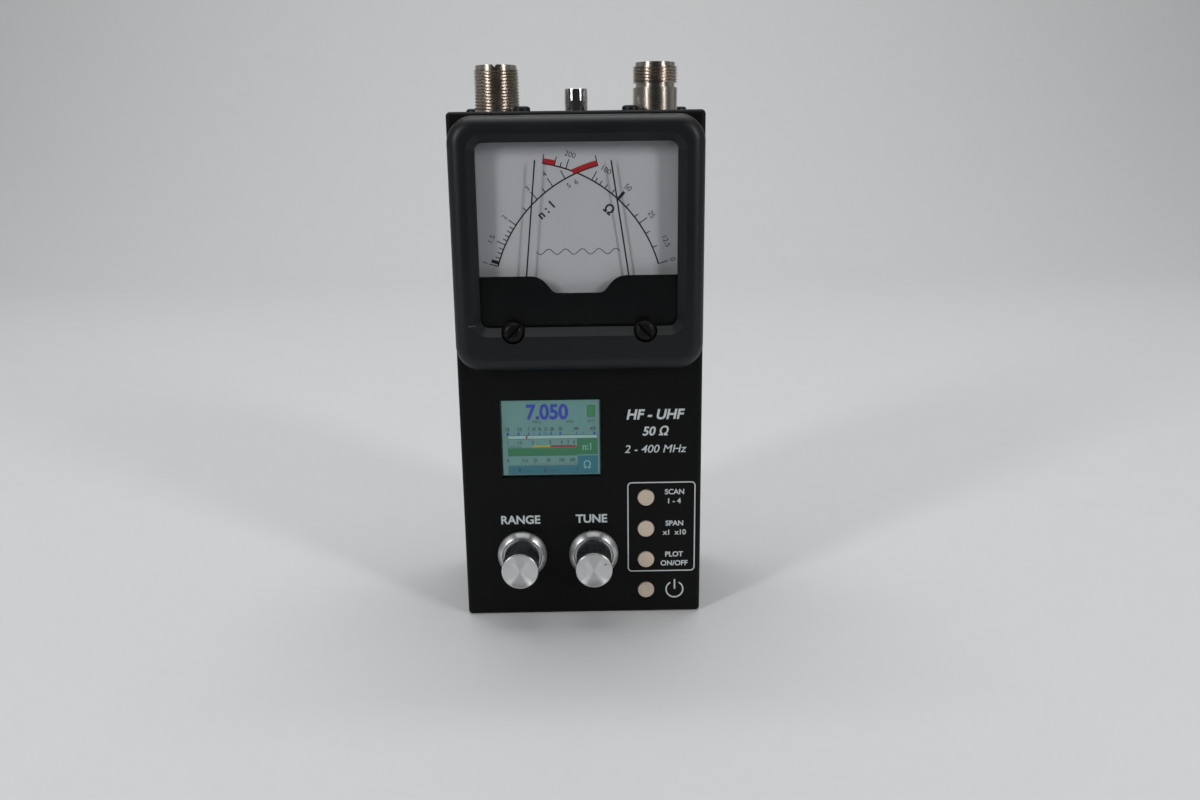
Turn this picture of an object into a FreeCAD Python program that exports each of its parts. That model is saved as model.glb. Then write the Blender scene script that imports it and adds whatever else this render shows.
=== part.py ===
import FreeCAD, Part
import math
import os
import re
import Sketcher
from FreeCAD import Placement, Rotation, Vector

# Hand-held antenna analyzer with a cross needle meter, a small colour display,
# two knobs, four buttons and three coaxial sockets on its top.
# The row frame has its origin at the centre of the case's bottom face, +Z up,
# and the front panel faces -Y. Most pieces are drawn flat on their back: u runs
# to the right, v up the panel and w out of the panel, and then stand up.

os.makedirs("parts", exist_ok=True)
doc = FreeCAD.newDocument("antenna_analyzer")

SIZES = {
    # Folded metal case
    "case_width": 86.0,
    "case_depth": 56.0,
    "sheet_thickness": 1.5,
    "bend_radius": 1.5,
    "lug_size": 8.0,
    "lug_depth": 6.0,
    "lug_inset": 8.0,
    "lip_depth": 4.5,
    "lip_gap": 0.2,
    # Bezel of the meter and its window
    "bezel_bottom": 93.65,
    "bezel_side_margin": 0.5,
    "bezel_top_margin": 1.35,
    "bezel_height": 85.0,
    "bezel_depth": 8.0,
    "bezel_corner": 9.0,
    "bezel_round": 4.5,
    "bezel_side_frame": 9.0,
    "bezel_top_frame": 8.65,
    "bezel_bottom_frame": 15.15,
    "bevel_width": 2.7,
    "window_corner": 3.0,
    "pane_recess": 3.0,
    "pane_thickness": 1.6,
    "pane_lip": 3.1,
    "pane_drop": 11.2,
    "seat_gap": 0.1,
    "stud_radius": 1.5,
    "stud_inset": 3.9,
    "stud_end_inset": 10.0,
    "stud_reach": 5.5,
    "stud_hole_gap": 0.2,
    # Shield and dial of the meter
    "mask_thickness": 0.8,
    "mask_side_height": 17.2,
    "mask_middle_height": 11.4,
    "mask_notch_top": 13.1,
    "mask_notch_bottom": 8.3,
    "mask_upper_round": 7.0,
    "mask_lower_round": 3.0,
    "dial_margin": 0.5,
    "dial_thickness": 0.8,
    "dial_drop": 12.0,
    "dial_hole_radius": 9.2,
    # Needles and their levels
    "needle_thickness": 0.3,
    "needle_width": 0.5,
    "needle_top_gap": 5.5,
    "needle_gap": 0.4,
    "needle_spacing": 0.7,
    "needle_above_dial": 1.7,
    "needle_step_radius": 6.0,
    "needle_arm_width": 0.8,
    "needle_tail": 4.6,
    "weight_radius": 1.1,
    "ohms_rest_angle": 5.6,
    "swr_rest_angle": 8.5,
    # Housing behind the dial
    "meter_wall": 1.2,
    "meter_depth": 9.5,
    "deep_depth": 21.5,
    "deep_above_pivot": 20.3,
    "pillar_radius": 2.4,
    "terminal_radius": 2.0,
    "terminal_reach": 9.0,
    "terminal_nut_radius": 3.6,
    "terminal_nut_height": 2.4,
    # Movements
    "pivot_inset": 14.85,
    "pivot_above_window": 6.9,
    "core_radius": 6.0,
    "core_length": 8.4,
    "coil_gap": 0.5,
    "coil_build": 2.0,
    "coil_width": 3.0,
    "coil_end_gap": 0.3,
    "coil_end_build": 0.8,
    "yoke_gap": 0.6,
    "yoke_thickness": 2.5,
    "staff_radius": 0.45,
    "jewel_radius": 1.0,
    "jewel_fit": 0.05,
    "jewel_length": 1.9,
    "staff_engagement": 0.5,
    "bridge_width": 5.0,
    "bridge_thickness": 1.2,
    "post_radius": 1.6,
    "post_clearance": 0.3,
    "bridge_angle": 130.5,
    "plate_thickness": 1.9,
    "tab_width": 2.4,
    "tab_reach": 4.0,
    "tab_thickness": 1.5,
    "tab_foot": 1.1,
    "lever_thickness": 0.4,
    "lever_ring": 1.2,
    "lever_width": 3.2,
    "lever_end": 9.4,
    "lever_gap": 0.1,
    "fork_start": 6.7,
    "fork_gap": 0.3,
    "spring_stud_radius": 0.4,
    "spring_stud_place": 4.2,
    "spring_inner": 1.3,
    "spring_turns": 4.0,
    "spring_pitch": 0.6,
    "spring_wire": 0.12,
    "spring_height": 0.3,
    "spring_level_gap": 0.3,
    "collet_radius": 1.0,
    # Zero adjusters
    "zero_screw_inset": 11.0,
    "zero_screw_drop": 1.2,
    "zero_head_radius": 3.7,
    "zero_head_gap": 0.3,
    "zero_head_proud": 0.8,
    "zero_head_round": 2.2,
    "zero_shaft_radius": 2.0,
    "zero_shaft_fit": 0.05,
    "zero_slot_width": 1.0,
    "zero_slot_depth": 1.3,
    "zero_pin_radius": 0.5,
    "zero_pin_offset": 1.0,
    # Display
    "display_left": 28.3,
    "display_width": 34.8,
    "display_drop": 12.2,
    "display_height": 28.0,
    "display_border": 0.4,
    "holder_side": 6.0,
    "holder_end": 3.3,
    "holder_wall": 1.2,
    "holder_floor": 1.2,
    "holder_depth": 3.0,
    "picture_gap": 0.2,
    "cover_pane_thickness": 1.0,
    "leg_radius": 1.5,
    # Knobs, shafts and controls
    "knob_height": 24.1,
    "band_place": 22.2,
    "freq_place": 3.85,
    "knob_gap": 0.6,
    "knob_length": 16.0,
    "skirt_radius": 8.95,
    "skirt_rim": 1.5,
    "skirt_cone_radius": 7.4,
    "skirt_height": 3.2,
    "skirt_groove_radius": 7.0,
    "skirt_groove_depth": 0.5,
    "knob_radius": 6.45,
    "knob_waist": 0.15,
    "knob_band": 0.8,
    "knob_chamfer": 0.4,
    "flute_depth": 0.22,
    "flute_width": 0.5,
    "flute_count": 48.0,
    "knob_recess_radius": 6.1,
    "knob_recess_depth": 2.6,
    "shaft_radius": 3.0,
    "shaft_bore_gap": 0.05,
    "shaft_engagement": 12.0,
    "set_screw_radius": 1.5,
    "set_screw_height": 7.2,
    "set_screw_length": 3.0,
    "set_screw_hex": 0.75,
    "bush_radius": 3.5,
    "bush_proud": 2.8,
    "bush_hole_gap": 0.2,
    "nut_radius": 5.6,
    "nut_thickness": 2.0,
    "switch_size": 19.0,
    "control_radius": 8.5,
    "control_floor": 1.2,
    # Buttons and their switches
    "button_place": 23.05,
    "button_lowest": 9.0,
    "button_pitch": 12.0,
    "button_radius": 3.0,
    "button_gap": 0.3,
    "button_proud": 0.6,
    "button_round": 0.3,
    "button_flange_radius": 4.2,
    "button_flange_thickness": 1.0,
    "button_stem_radius": 1.4,
    "button_travel": 0.6,
    "tact_size": 6.0,
    "tact_height": 3.5,
    "tact_well_gap": 0.4,
    "tact_floor": 1.5,
    # Circuit boards
    "board_depth": 13.0,
    "board_thickness": 1.6,
    "board_side_gap": 2.0,
    "board_bottom": 4.0,
    "board_meter_gap": 2.65,
    "standoff_radius": 3.0,
    "standoff_inset": 5.5,
    "standoff_edge": 4.0,
    "screw_radius": 1.5,
    "screw_head_radius": 3.0,
    "screw_head_height": 2.2,
    "screw_head_round": 1.0,
    "screw_cross_width": 0.9,
    "screw_cross_depth": 1.1,
    "screw_length": 6.0,
    "screw_hole_gap": 0.1,
    "rf_board_drop": 18.4,
    "rf_board_depth": 28.0,
    "rf_shield_width": 64.0,
    "rf_shield_depth": 24.0,
    "rf_shield_height": 14.0,
    "rf_shield_wall": 0.5,
    # Sockets on the top
    "socket_side_gap": 0.8,
    "socket_flange": 25.4,
    "socket_flange_thickness": 3.0,
    "flange_screw_place": 9.12,
    "thread_radius": 7.94,
    "thread_pitch": 1.058,
    "thread_depth": 0.55,
    "socket_hole_gap": 0.15,
    "pin_overlap": 2.8,
    "solder_pin_radius": 1.6,
    "uhf_thread_top": 14.8,
    "uhf_top": 16.3,
    "uhf_lip_radius": 7.3,
    "uhf_bore_radius": 6.3,
    "uhf_insulator_recess": 2.4,
    "uhf_insulator_tail": 5.5,
    "uhf_contact_radius": 2.8,
    "uhf_contact_bore": 2.0,
    "uhf_contact_depth": 11.0,
    "uhf_notch_width": 1.6,
    "uhf_notch_depth": 0.9,
    "coax_base_radius": 7.85,
    "coax_base_top": 8.3,
    "coax_neck_radius": 6.9,
    "coax_neck_top": 10.0,
    "coax_thread_top": 15.3,
    "coax_top": 16.8,
    "coax_lip_radius": 7.0,
    "coax_bore_radius": 4.2,
    "coax_insulator_top": 7.0,
    "coax_contact_radius": 1.6,
    "coax_contact_bore": 0.85,
    "coax_contact_recess": 1.9,
    "coax_contact_depth": 6.0,
    "rca_radius": 4.15,
    "rca_waist": 0.12,
    "rca_top": 8.3,
    "rca_round": 0.5,
    "rca_bore_radius": 3.4,
    "rca_tail": 6.0,
    "rca_nut_radius": 6.35,
    "rca_nut_thickness": 2.5,
    "rca_insulator_recess": 0.6,
    "rca_contact_radius": 2.2,
    "rca_contact_bore": 1.6,
    "rca_contact_depth": 8.0,
    "rca_pin_radius": 1.0,
    # Batteries and outside power
    "cell_radius": 7.1,
    "cell_length": 49.2,
    "cell_nub_radius": 2.75,
    "cell_nub_height": 1.0,
    "cell_gap": 0.4,
    "cell_end_gap": 0.6,
    "holder_box_wall": 1.5,
    "jack_height": 70.0,
    "jack_length": 14.0,
    "jack_width": 9.0,
    "jack_depth": 11.0,
    "jack_bore_radius": 2.8,
    "jack_bore_depth": 9.5,
    "jack_pin_radius": 1.0,
    "jack_hole_radius": 3.2,
}

sheet = doc.addObject("Spreadsheet::Sheet", "dims")
for row, (alias, size) in enumerate(SIZES.items(), start=1):
    sheet.set(f"A{row}", alias)
    sheet.set(f"B{row}", str(size))
    sheet.setAlias(f"B{row}", alias)
doc.recompute()

WORD = re.compile(r"[a-z][a-z_]*")
STAND = Rotation(Vector(1, 0, 0), 90)
FULL_TURN = 360
FLATS_ASIDE = 30
nodes = []

probe = doc.addObject("App::FeaturePython", "probe")
probe.addProperty("App::PropertyFloat", "answer")


# Formulas of the sheet's sizes

def driven(formula):
    """The formula with each size pointing at its cell."""
    return WORD.sub(lambda m: "dims." + m.group(0) if m.group(0) in SIZES else m.group(0), str(formula))


def bind(obj, prop, formula):
    obj.setExpression(prop, driven(formula))


def number(formula):
    """What the formula gives now, in millimetres or degrees."""
    probe.setExpression("answer", driven(formula))
    probe.recompute()
    return probe.answer


# Sketches and features of a body

def new_body(name):
    body = doc.addObject("PartDesign::Body", name)
    body.Label = name
    return body


def origin_item(body, role):
    return next(item for item in body.Origin.OriginFeatures if item.Role == role)


def new_sketch(body, level, role="XY_Plane"):
    sketch = body.newObject("Sketcher::SketchObject", "outline")
    sketch.AttachmentSupport = [(origin_item(body, role), "")]
    sketch.MapMode = "FlatFace"
    bind(sketch, "AttachmentOffset.Base.z", level)
    return sketch


def hold_point(sketch, item, point, place):
    """Tie one point of a sketch to two formulas."""
    for kind, formula in zip(("DistanceX", "DistanceY"), place):
        mark = sketch.addConstraint(Sketcher.Constraint(kind, -1, 1, item, point, number(formula)))
        bind(sketch, f"Constraints[{mark}]", formula)


def draw_corners(sketch, corners):
    """A closed outline of straight runs, each corner tied to its formulas."""
    first = sketch.GeometryCount
    spots = [Vector(number(u), number(v), 0) for u, v in corners]
    count = len(spots)
    for i in range(count):
        sketch.addGeometry(Part.LineSegment(spots[i], spots[(i + 1) % count]))
    for i in range(count):
        sketch.addConstraint(Sketcher.Constraint("Coincident", first + i, 2, first + (i + 1) % count, 1))
    for i, corner in enumerate(corners):
        hold_point(sketch, first + i, 1, corner)


def draw_circle(sketch, u, v, radius):
    spot = Vector(number(u), number(v), 0)
    item = sketch.addGeometry(Part.Circle(spot, Vector(0, 0, 1), number(radius)))
    mark = sketch.addConstraint(Sketcher.Constraint("Radius", item, number(radius)))
    bind(sketch, f"Constraints[{mark}]", radius)
    hold_point(sketch, item, 3, (u, v))


def draw(sketch, shapes):
    for shape in shapes:
        if isinstance(shape, list):
            draw_corners(sketch, shape)
        else:
            draw_circle(sketch, *shape)


def box_outline(left, right, low, high):
    return [(left, low), (right, low), (right, high), (left, high)]


def pad(body, shapes, low, high):
    """Solid between two levels."""
    sketch = new_sketch(body, low)
    draw(sketch, shapes)
    feature = body.newObject("PartDesign::Pad", "pad")
    feature.Profile = sketch
    bind(feature, "Length", f"{high} - {low}")
    doc.recompute()
    return feature


def pocket(body, shapes, low, high, role="XY_Plane", turned=False):
    """Hole from the high level back to the low one."""
    sketch = new_sketch(body, high, role)
    draw(sketch, shapes)
    feature = body.newObject("PartDesign::Pocket", "pocket")
    feature.Profile = sketch
    feature.Reversed = turned
    bind(feature, "Length", f"{high} - {low}" if not turned else f"{low} - {high}")
    doc.recompute()
    return feature


def revolve(body, corners, kind="Revolution"):
    """Turn an outline of (radius, height) corners about the body's own Z axis."""
    sketch = new_sketch(body, "0", "XZ_Plane")
    draw_corners(sketch, corners)
    feature = body.newObject("PartDesign::" + kind, kind.lower())
    feature.Profile = sketch
    feature.ReferenceAxis = (sketch, ["V_Axis"])
    feature.Angle = FULL_TURN
    doc.recompute()
    return feature


def along_z(edge):
    """A straight edge that runs along Z."""
    if len(edge.Vertexes) != 2:
        return False
    run = edge.Vertexes[1].Point - edge.Vertexes[0].Point
    return math.hypot(run.x, run.y) < 1e-6 and abs(run.z) > 1e-6


def at_level(level):
    """A test for edges that lie at one height."""
    height = number(level)
    return lambda edge: abs(edge.BoundBox.ZMin - height) < 1e-5 and abs(edge.BoundBox.ZMax - height) < 1e-5


def edges_where(feature, test):
    return [f"Edge{i}" for i, edge in enumerate(feature.Shape.Edges, start=1) if test(edge)]


def fillet(body, feature, test, radius):
    rounded = body.newObject("PartDesign::Fillet", "fillet")
    rounded.Base = (feature, edges_where(feature, test))
    bind(rounded, "Radius", radius)
    doc.recompute()
    return rounded


# Plain solids and what is done with them

def block(u_low, u_high, v_low, v_high, w_low, w_high):
    solid = doc.addObject("Part::Box", "block")
    for prop, low, high in (("Length", u_low, u_high), ("Width", v_low, v_high), ("Height", w_low, w_high)):
        bind(solid, prop, f"({high}) - ({low})")
    for axis, low in zip("xyz", (u_low, v_low, w_low)):
        bind(solid, "Placement.Base." + axis, low)
    return solid


def rod(u, v, low, high, radius, kind="Part::Cylinder"):
    """A round or six-sided bar along w."""
    solid = doc.addObject(kind, "rod")
    bind(solid, "Circumradius" if kind == "Part::Prism" else "Radius", radius)
    bind(solid, "Height", f"({high}) - ({low})")
    for axis, place in zip("xyz", (u, v, low)):
        bind(solid, "Placement.Base." + axis, place)
    return solid


def hexagon(u, v, low, high, radius):
    return rod(u, v, low, high, radius, "Part::Prism")


def fuse(*solids):
    whole = doc.addObject("Part::MultiFuse", "fuse")
    whole.Shapes = list(solids)
    whole.Refine = True
    return whole


def cut(base, *tools):
    rest = doc.addObject("Part::Cut", "cut")
    rest.Base = base
    rest.Tool = tools[0] if len(tools) == 1 else fuse(*tools)
    return rest


def common(solid, region):
    """The part of a solid that lies in a region."""
    shared = doc.addObject("Part::MultiCommon", "common")
    shared.Shapes = [solid, region]
    return shared


def tube(u, v, low, high, radius, bore):
    return cut(rod(u, v, low, high, radius), rod(u, v, low, high, bore))


def group(*solids):
    """Separate solids kept in one node."""
    together = doc.addObject("Part::Compound", "group")
    together.Links = list(solids)
    return together


# Placing and keeping

def keep(obj, name):
    obj.Label = name
    nodes.append(obj)
    return obj


def stand(drawn, name, u="0", v="0", spin=0.0):
    """Keep a piece that was drawn flat, stood up at (u, v) of the front."""
    obj = group(drawn) if drawn.TypeId in ("Part::Box", "Part::Cylinder") else drawn
    obj.Placement = Placement(Vector(), STAND * Rotation(Vector(0, 0, 1), spin))
    bind(obj, "Placement.Base.x", u)
    bind(obj, "Placement.Base.z", v)
    return keep(obj, name)


def move(obj, u, v, w="0"):
    for axis, place in zip("xyz", (u, v, w)):
        bind(obj, "Placement.Base." + axis, place)
    return obj


def mirrored(place):
    return f"-({place})"


# Levels out of the panel, and lines across it, that many pieces share

CASE_HEIGHT = "(bezel_bottom + bezel_height + bezel_top_margin)"
FACE = "(case_depth / 2)"
INSIDE = "(case_depth / 2 - sheet_thickness)"
REAR = "(-case_depth / 2)"
REAR_INSIDE = "(sheet_thickness - case_depth / 2)"
HALF_INSIDE = "(case_width / 2 - sheet_thickness)"

BEZEL_FACE = f"({FACE} + bezel_depth)"
BEZEL_TOP = "(bezel_bottom + bezel_height)"
BEZEL_HALF = "(case_width / 2 - bezel_side_margin)"
WINDOW_HALF = f"({BEZEL_HALF} - bezel_side_frame)"
WINDOW_TOP = f"({BEZEL_TOP} - bezel_top_frame)"
WINDOW_BOTTOM = "(bezel_bottom + bezel_bottom_frame)"
PANE_FACE = f"({BEZEL_FACE} - pane_recess)"
PANE_BACK = f"({PANE_FACE} - pane_thickness)"
PANE_HALF = f"({WINDOW_HALF} + pane_lip)"
PANE_TOP = f"({WINDOW_TOP} + pane_lip)"
PANE_BOTTOM = f"({WINDOW_BOTTOM} - pane_drop)"
MASK_BACK = f"({PANE_BACK} - mask_thickness)"
OHMS_FRONT = f"({MASK_BACK} - needle_gap)"
SWR_FRONT = f"({OHMS_FRONT} - needle_thickness - needle_spacing)"
DIAL_FACE = f"({SWR_FRONT} - needle_thickness - needle_above_dial)"
DIAL_BACK = f"({DIAL_FACE} - dial_thickness)"

METER_HALF = f"({WINDOW_HALF} + dial_margin)"
METER_TOP = f"({WINDOW_TOP} + dial_margin)"
METER_BOTTOM = f"({PANE_BOTTOM} + 2 * meter_wall)"
METER_BACK = f"({FACE} - meter_depth)"
DEEP_BACK = f"({FACE} - deep_depth)"
METER_FLOOR = f"({METER_BACK} + meter_wall)"
DEEP_FLOOR = f"({DEEP_BACK} + meter_wall)"
PIVOT_SIDE = f"({WINDOW_HALF} - pivot_inset)"
PIVOT_HEIGHT = f"({WINDOW_BOTTOM} + pivot_above_window)"
DEEP_TOP = f"({PIVOT_HEIGHT} + deep_above_pivot)"
ZERO_SIDE = f"({WINDOW_HALF} - zero_screw_inset)"
ZERO_HEIGHT = f"({WINDOW_BOTTOM} - zero_screw_drop)"
NEEDLE_TIP = f"({WINDOW_TOP} - {PIVOT_HEIGHT} - needle_top_gap)"

STUD_SIDE = f"({BEZEL_HALF} - stud_inset)"
STUD_LOW = "(bezel_bottom + stud_end_inset)"
STUD_HIGH = f"({BEZEL_TOP} - stud_end_inset)"

DISPLAY_LEFT = "(-display_left)"
DISPLAY_RIGHT = "(display_width - display_left)"
DISPLAY_TOP = "(bezel_bottom - display_drop)"
DISPLAY_BOTTOM = f"({DISPLAY_TOP} - display_height)"
COVER_BACK = f"({INSIDE} - cover_pane_thickness)"
HOLDER_LEFT = f"({DISPLAY_LEFT} - holder_side)"
HOLDER_RIGHT = f"({DISPLAY_RIGHT} + holder_side)"
HOLDER_BOTTOM = f"({DISPLAY_BOTTOM} - holder_end)"
HOLDER_TOP = f"({DISPLAY_TOP} + holder_end)"
HOLDER_BACK = f"({COVER_BACK} - holder_depth)"

BOARD_FACE = f"({FACE} - board_depth)"
BOARD_BACK = f"({BOARD_FACE} - board_thickness)"
BOARD_HALF = f"({HALF_INSIDE} - board_side_gap)"
BOARD_TOP = "(bezel_bottom - board_meter_gap)"
STANDOFF_SIDE = f"({HALF_INSIDE} - standoff_inset)"
STANDOFF_LOW = "(board_bottom + standoff_edge)"
STANDOFF_HIGH = f"({BOARD_TOP} - standoff_edge)"

LUG_SIDE = f"({HALF_INSIDE} - lug_size / 2)"
LUG_LOW = "(lug_inset + lug_size / 2)"
LUG_HIGH = f"({CASE_HEIGHT} - lug_inset - lug_size / 2)"

KNOB_BASE = f"({FACE} + knob_gap)"
BUSH_TOP = f"({FACE} + bush_proud)"
SHAFT_TOP = f"({KNOB_BASE} + shaft_engagement)"
SWITCH_FLOOR = f"({BOARD_FACE} + control_floor)"

TOP_INSIDE = f"({CASE_HEIGHT} - sheet_thickness)"
SOCKET_SIDE = f"({HALF_INSIDE} - socket_side_gap - socket_flange / 2)"
FLANGE_LOW = "(-sheet_thickness - socket_flange_thickness)"
RF_BOARD_TOP = "(-rf_board_drop)"
RF_BOARD_LOW = "(-rf_board_drop - board_thickness)"
PIN_END = "(-rf_board_drop - pin_overlap)"

BUTTONS = ("power_button", "graph_button", "width_button", "sweep_button")
SIDES = (-1, 1)


def side_of(sign, place):
    return place if sign > 0 else mirrored(place)


def four(side, low, high):
    """The four (u, v) places of a fastener pattern."""
    return [(side_of(sign, side), v) for sign in SIDES for v in (low, high)]


STUDS = four(STUD_SIDE, STUD_LOW, STUD_HIGH)
STANDOFFS = four(STANDOFF_SIDE, STANDOFF_LOW, STANDOFF_HIGH)
LUGS = four(LUG_SIDE, LUG_LOW, LUG_HIGH)


def button_height(index):
    return f"(button_lowest + {index} * button_pitch)"


# One screw of each pattern of flange screws: near and right, far and left, and the mirror of it
FLANGE_SCREWS = [
    (f"(flange_screw_place - {SOCKET_SIDE})", "(-flange_screw_place)"),
    (f"(-flange_screw_place - {SOCKET_SIDE})", "(flange_screw_place)"),
    (f"({SOCKET_SIDE} - flange_screw_place)", "(-flange_screw_place)"),
    (f"({SOCKET_SIDE} + flange_screw_place)", "(flange_screw_place)"),
]


# Case

def case_walls():
    """Blocks that part the case into its panel, its two ends and its two sides."""
    half = "(case_width / 2)"
    ends = [block(mirrored(half), half, low, high, REAR_INSIDE, INSIDE)
            for low, high in (("0", "sheet_thickness"), (TOP_INSIDE, CASE_HEIGHT))]
    sides = [block(low, high, "sheet_thickness", TOP_INSIDE, REAR_INSIDE, INSIDE)
             for low, high in ((mirrored(half), "0"), ("0", half))]
    return [block(mirrored(half), half, "0", CASE_HEIGHT, INSIDE, FACE)] + ends + sides


def make_front_case():
    """Folded case whose walls meet flush, each wall a solid of its own."""
    body = new_body("folded_case")
    half = "case_width / 2"
    outer = pad(body, [box_outline(mirrored(half), half, "0", CASE_HEIGHT)], REAR_INSIDE, FACE)
    bends = at_level(FACE)
    fillet(body, outer, lambda edge: bends(edge) or along_z(edge), "bend_radius")
    pocket(body, [box_outline(mirrored(HALF_INSIDE), HALF_INSIDE, "sheet_thickness", TOP_INSIDE)],
           REAR_INSIDE, INSIDE)
    cutout = f"({METER_HALF} + meter_wall + 2 * seat_gap)"
    cutout_low = f"({METER_BOTTOM} - meter_wall - 2 * seat_gap)"
    cutout_high = f"({METER_TOP} + meter_wall + 2 * seat_gap)"
    pocket(body, [box_outline(mirrored(cutout), cutout, cutout_low, cutout_high)], INSIDE, FACE)
    pocket(body, [box_outline(f"{DISPLAY_LEFT} - display_border", f"{DISPLAY_RIGHT} + display_border",
                              f"{DISPLAY_BOTTOM} - display_border", f"{DISPLAY_TOP} + display_border")],
           INSIDE, FACE)
    pocket(body, [("button_place", button_height(i), "(button_radius + button_gap)")
                  for i in range(len(BUTTONS))], INSIDE, FACE)
    pocket(body, [(u, "knob_height", "(bush_radius + bush_hole_gap)")
                  for u in ("(-band_place)", "(freq_place)")], INSIDE, FACE)
    pocket(body, [(u, v, "(stud_radius + stud_hole_gap)") for u, v in STUDS], INSIDE, FACE)
    top = mirrored(CASE_HEIGHT)
    below_top = mirrored(TOP_INSIDE)
    pocket(body, [(mirrored(SOCKET_SIDE), "0", "(thread_radius + socket_hole_gap)"),
                  (SOCKET_SIDE, "0", "(thread_radius + socket_hole_gap)"),
                  ("0", "0", "(rca_radius + socket_hole_gap)")]
           + [(x, mirrored(y), "(screw_radius + screw_hole_gap)") for x, y in FLANGE_SCREWS],
           below_top, top, "XZ_Plane", True)
    pocket(body, [("jack_height", f"({BOARD_BACK} - jack_depth / 2)", "jack_hole_radius")],
           HALF_INSIDE, "(case_width / 2)", "YZ_Plane")
    lug_front = f"({REAR_INSIDE} + lug_depth)"
    pad(body, [box_outline(f"{u} - lug_size / 2", f"{u} + lug_size / 2",
                           f"{v} - lug_size / 2", f"{v} + lug_size / 2") for u, v in LUGS],
        REAR_INSIDE, lug_front)
    pocket(body, [(u, v, "screw_radius") for u, v in LUGS], REAR_INSIDE, lug_front)
    stand(group(*[common(body, wall) for wall in case_walls()]), "front_case")


def make_rear_cover():
    body = new_body("rear_cover")
    half = "case_width / 2"
    plate = pad(body, [box_outline(mirrored(half), half, "0", CASE_HEIGHT)], REAR, REAR_INSIDE)
    fillet(body, plate, along_z, "bend_radius")
    lip_out = f"({HALF_INSIDE} - lip_gap)"
    lip_in = f"({lip_out} - sheet_thickness)"
    low = f"({LUG_LOW} + lug_size)"
    high = f"({LUG_HIGH} - lug_size)"
    pad(body, [box_outline(lip_in, lip_out, low, high),
               box_outline(mirrored(lip_out), mirrored(lip_in), low, high)],
        REAR_INSIDE, f"({REAR_INSIDE} + lip_depth)")
    pocket(body, [(u, v, "(screw_radius + screw_hole_gap)") for u, v in LUGS], REAR, REAR_INSIDE)
    stand(body, "rear_cover")


def pan_screw(u, v, seat, length="screw_length", out=1):
    """A cross-slotted pan head screw whose head sits on a level and looks along w."""
    sign = "" if out > 0 else "-"
    body = new_body("pan_screw")
    head = revolve(body, [("0", "(-({}))".format(length)), ("screw_radius", "(-({}))".format(length)),
                          ("screw_radius", "0"), ("screw_head_radius", "0"),
                          ("screw_head_radius", "screw_head_height"), ("0", "screw_head_height")])
    fillet(body, head, at_level("screw_head_height"), "screw_head_round")
    arm = "(screw_head_radius - screw_head_round)"
    half = "screw_cross_width / 2"
    bottom = "(screw_head_height - screw_cross_depth)"
    pocket(body, [box_outline(mirrored(arm), arm, mirrored(half), half)], bottom, "screw_head_height")
    pocket(body, [box_outline(mirrored(half), half, mirrored(arm), arm)], bottom, "screw_head_height")
    body.Placement = Placement(Vector(), Rotation(Vector(1, 0, 0), 0 if sign == "" else 180))
    return move(body, u, v, seat)


# Meter housing

def make_bezel():
    body = new_body("meter_bezel")
    block_pad = pad(body, [box_outline(mirrored(BEZEL_HALF), BEZEL_HALF, "bezel_bottom", BEZEL_TOP)],
                    FACE, BEZEL_FACE)
    corners = fillet(body, block_pad, along_z, "bezel_corner")
    fillet(body, corners, at_level(BEZEL_FACE), "bezel_round")
    pocket(body, [box_outline(f"-({PANE_HALF} + seat_gap)", f"({PANE_HALF} + seat_gap)",
                              f"({PANE_BOTTOM} - seat_gap)", f"({PANE_TOP} + seat_gap)")],
           FACE, PANE_FACE)
    opening = pocket(body, [box_outline(mirrored(WINDOW_HALF), WINDOW_HALF, WINDOW_BOTTOM, WINDOW_TOP)],
                     PANE_FACE, BEZEL_FACE)
    reach = number(WINDOW_HALF) + number("bevel_width") / 2
    tall = number(WINDOW_TOP) + number("bevel_width") / 2
    below = number(WINDOW_BOTTOM) - number("bevel_width") / 2

    def inner_corner(edge):
        if not along_z(edge):
            return False
        spot = edge.Vertexes[0].Point
        return abs(spot.x) < reach and below < spot.y < tall

    rounded = fillet(body, opening, inner_corner, "window_corner")
    bevel = body.newObject("PartDesign::Chamfer", "bevel")
    front = at_level(BEZEL_FACE)
    bevel.Base = (rounded, edges_where(rounded, lambda edge: front(edge)
                                       and abs(edge.CenterOfMass.x) < reach
                                       and below < edge.CenterOfMass.y < tall))
    bevel.ChamferType = "Two distances"
    bind(bevel, "Size", "bevel_width")
    bind(bevel, "Size2", "(pane_recess - seat_gap)")
    doc.recompute()
    pocket(body, [(side_of(sign, ZERO_SIDE), ZERO_HEIGHT, "(zero_head_radius + zero_head_gap)")
                  for sign in SIDES], PANE_FACE, BEZEL_FACE)
    pad(body, [(u, v, "stud_radius") for u, v in STUDS], f"({FACE} - stud_reach)", FACE)
    stand(body, "meter_bezel")


def make_window():
    body = new_body("meter_window")
    pad(body, [box_outline(mirrored(PANE_HALF), PANE_HALF, PANE_BOTTOM, PANE_TOP)]
        + [(side_of(sign, ZERO_SIDE), ZERO_HEIGHT, "(zero_shaft_radius + zero_shaft_fit)")
           for sign in SIDES], PANE_BACK, PANE_FACE)
    stand(body, "meter_window")


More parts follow.
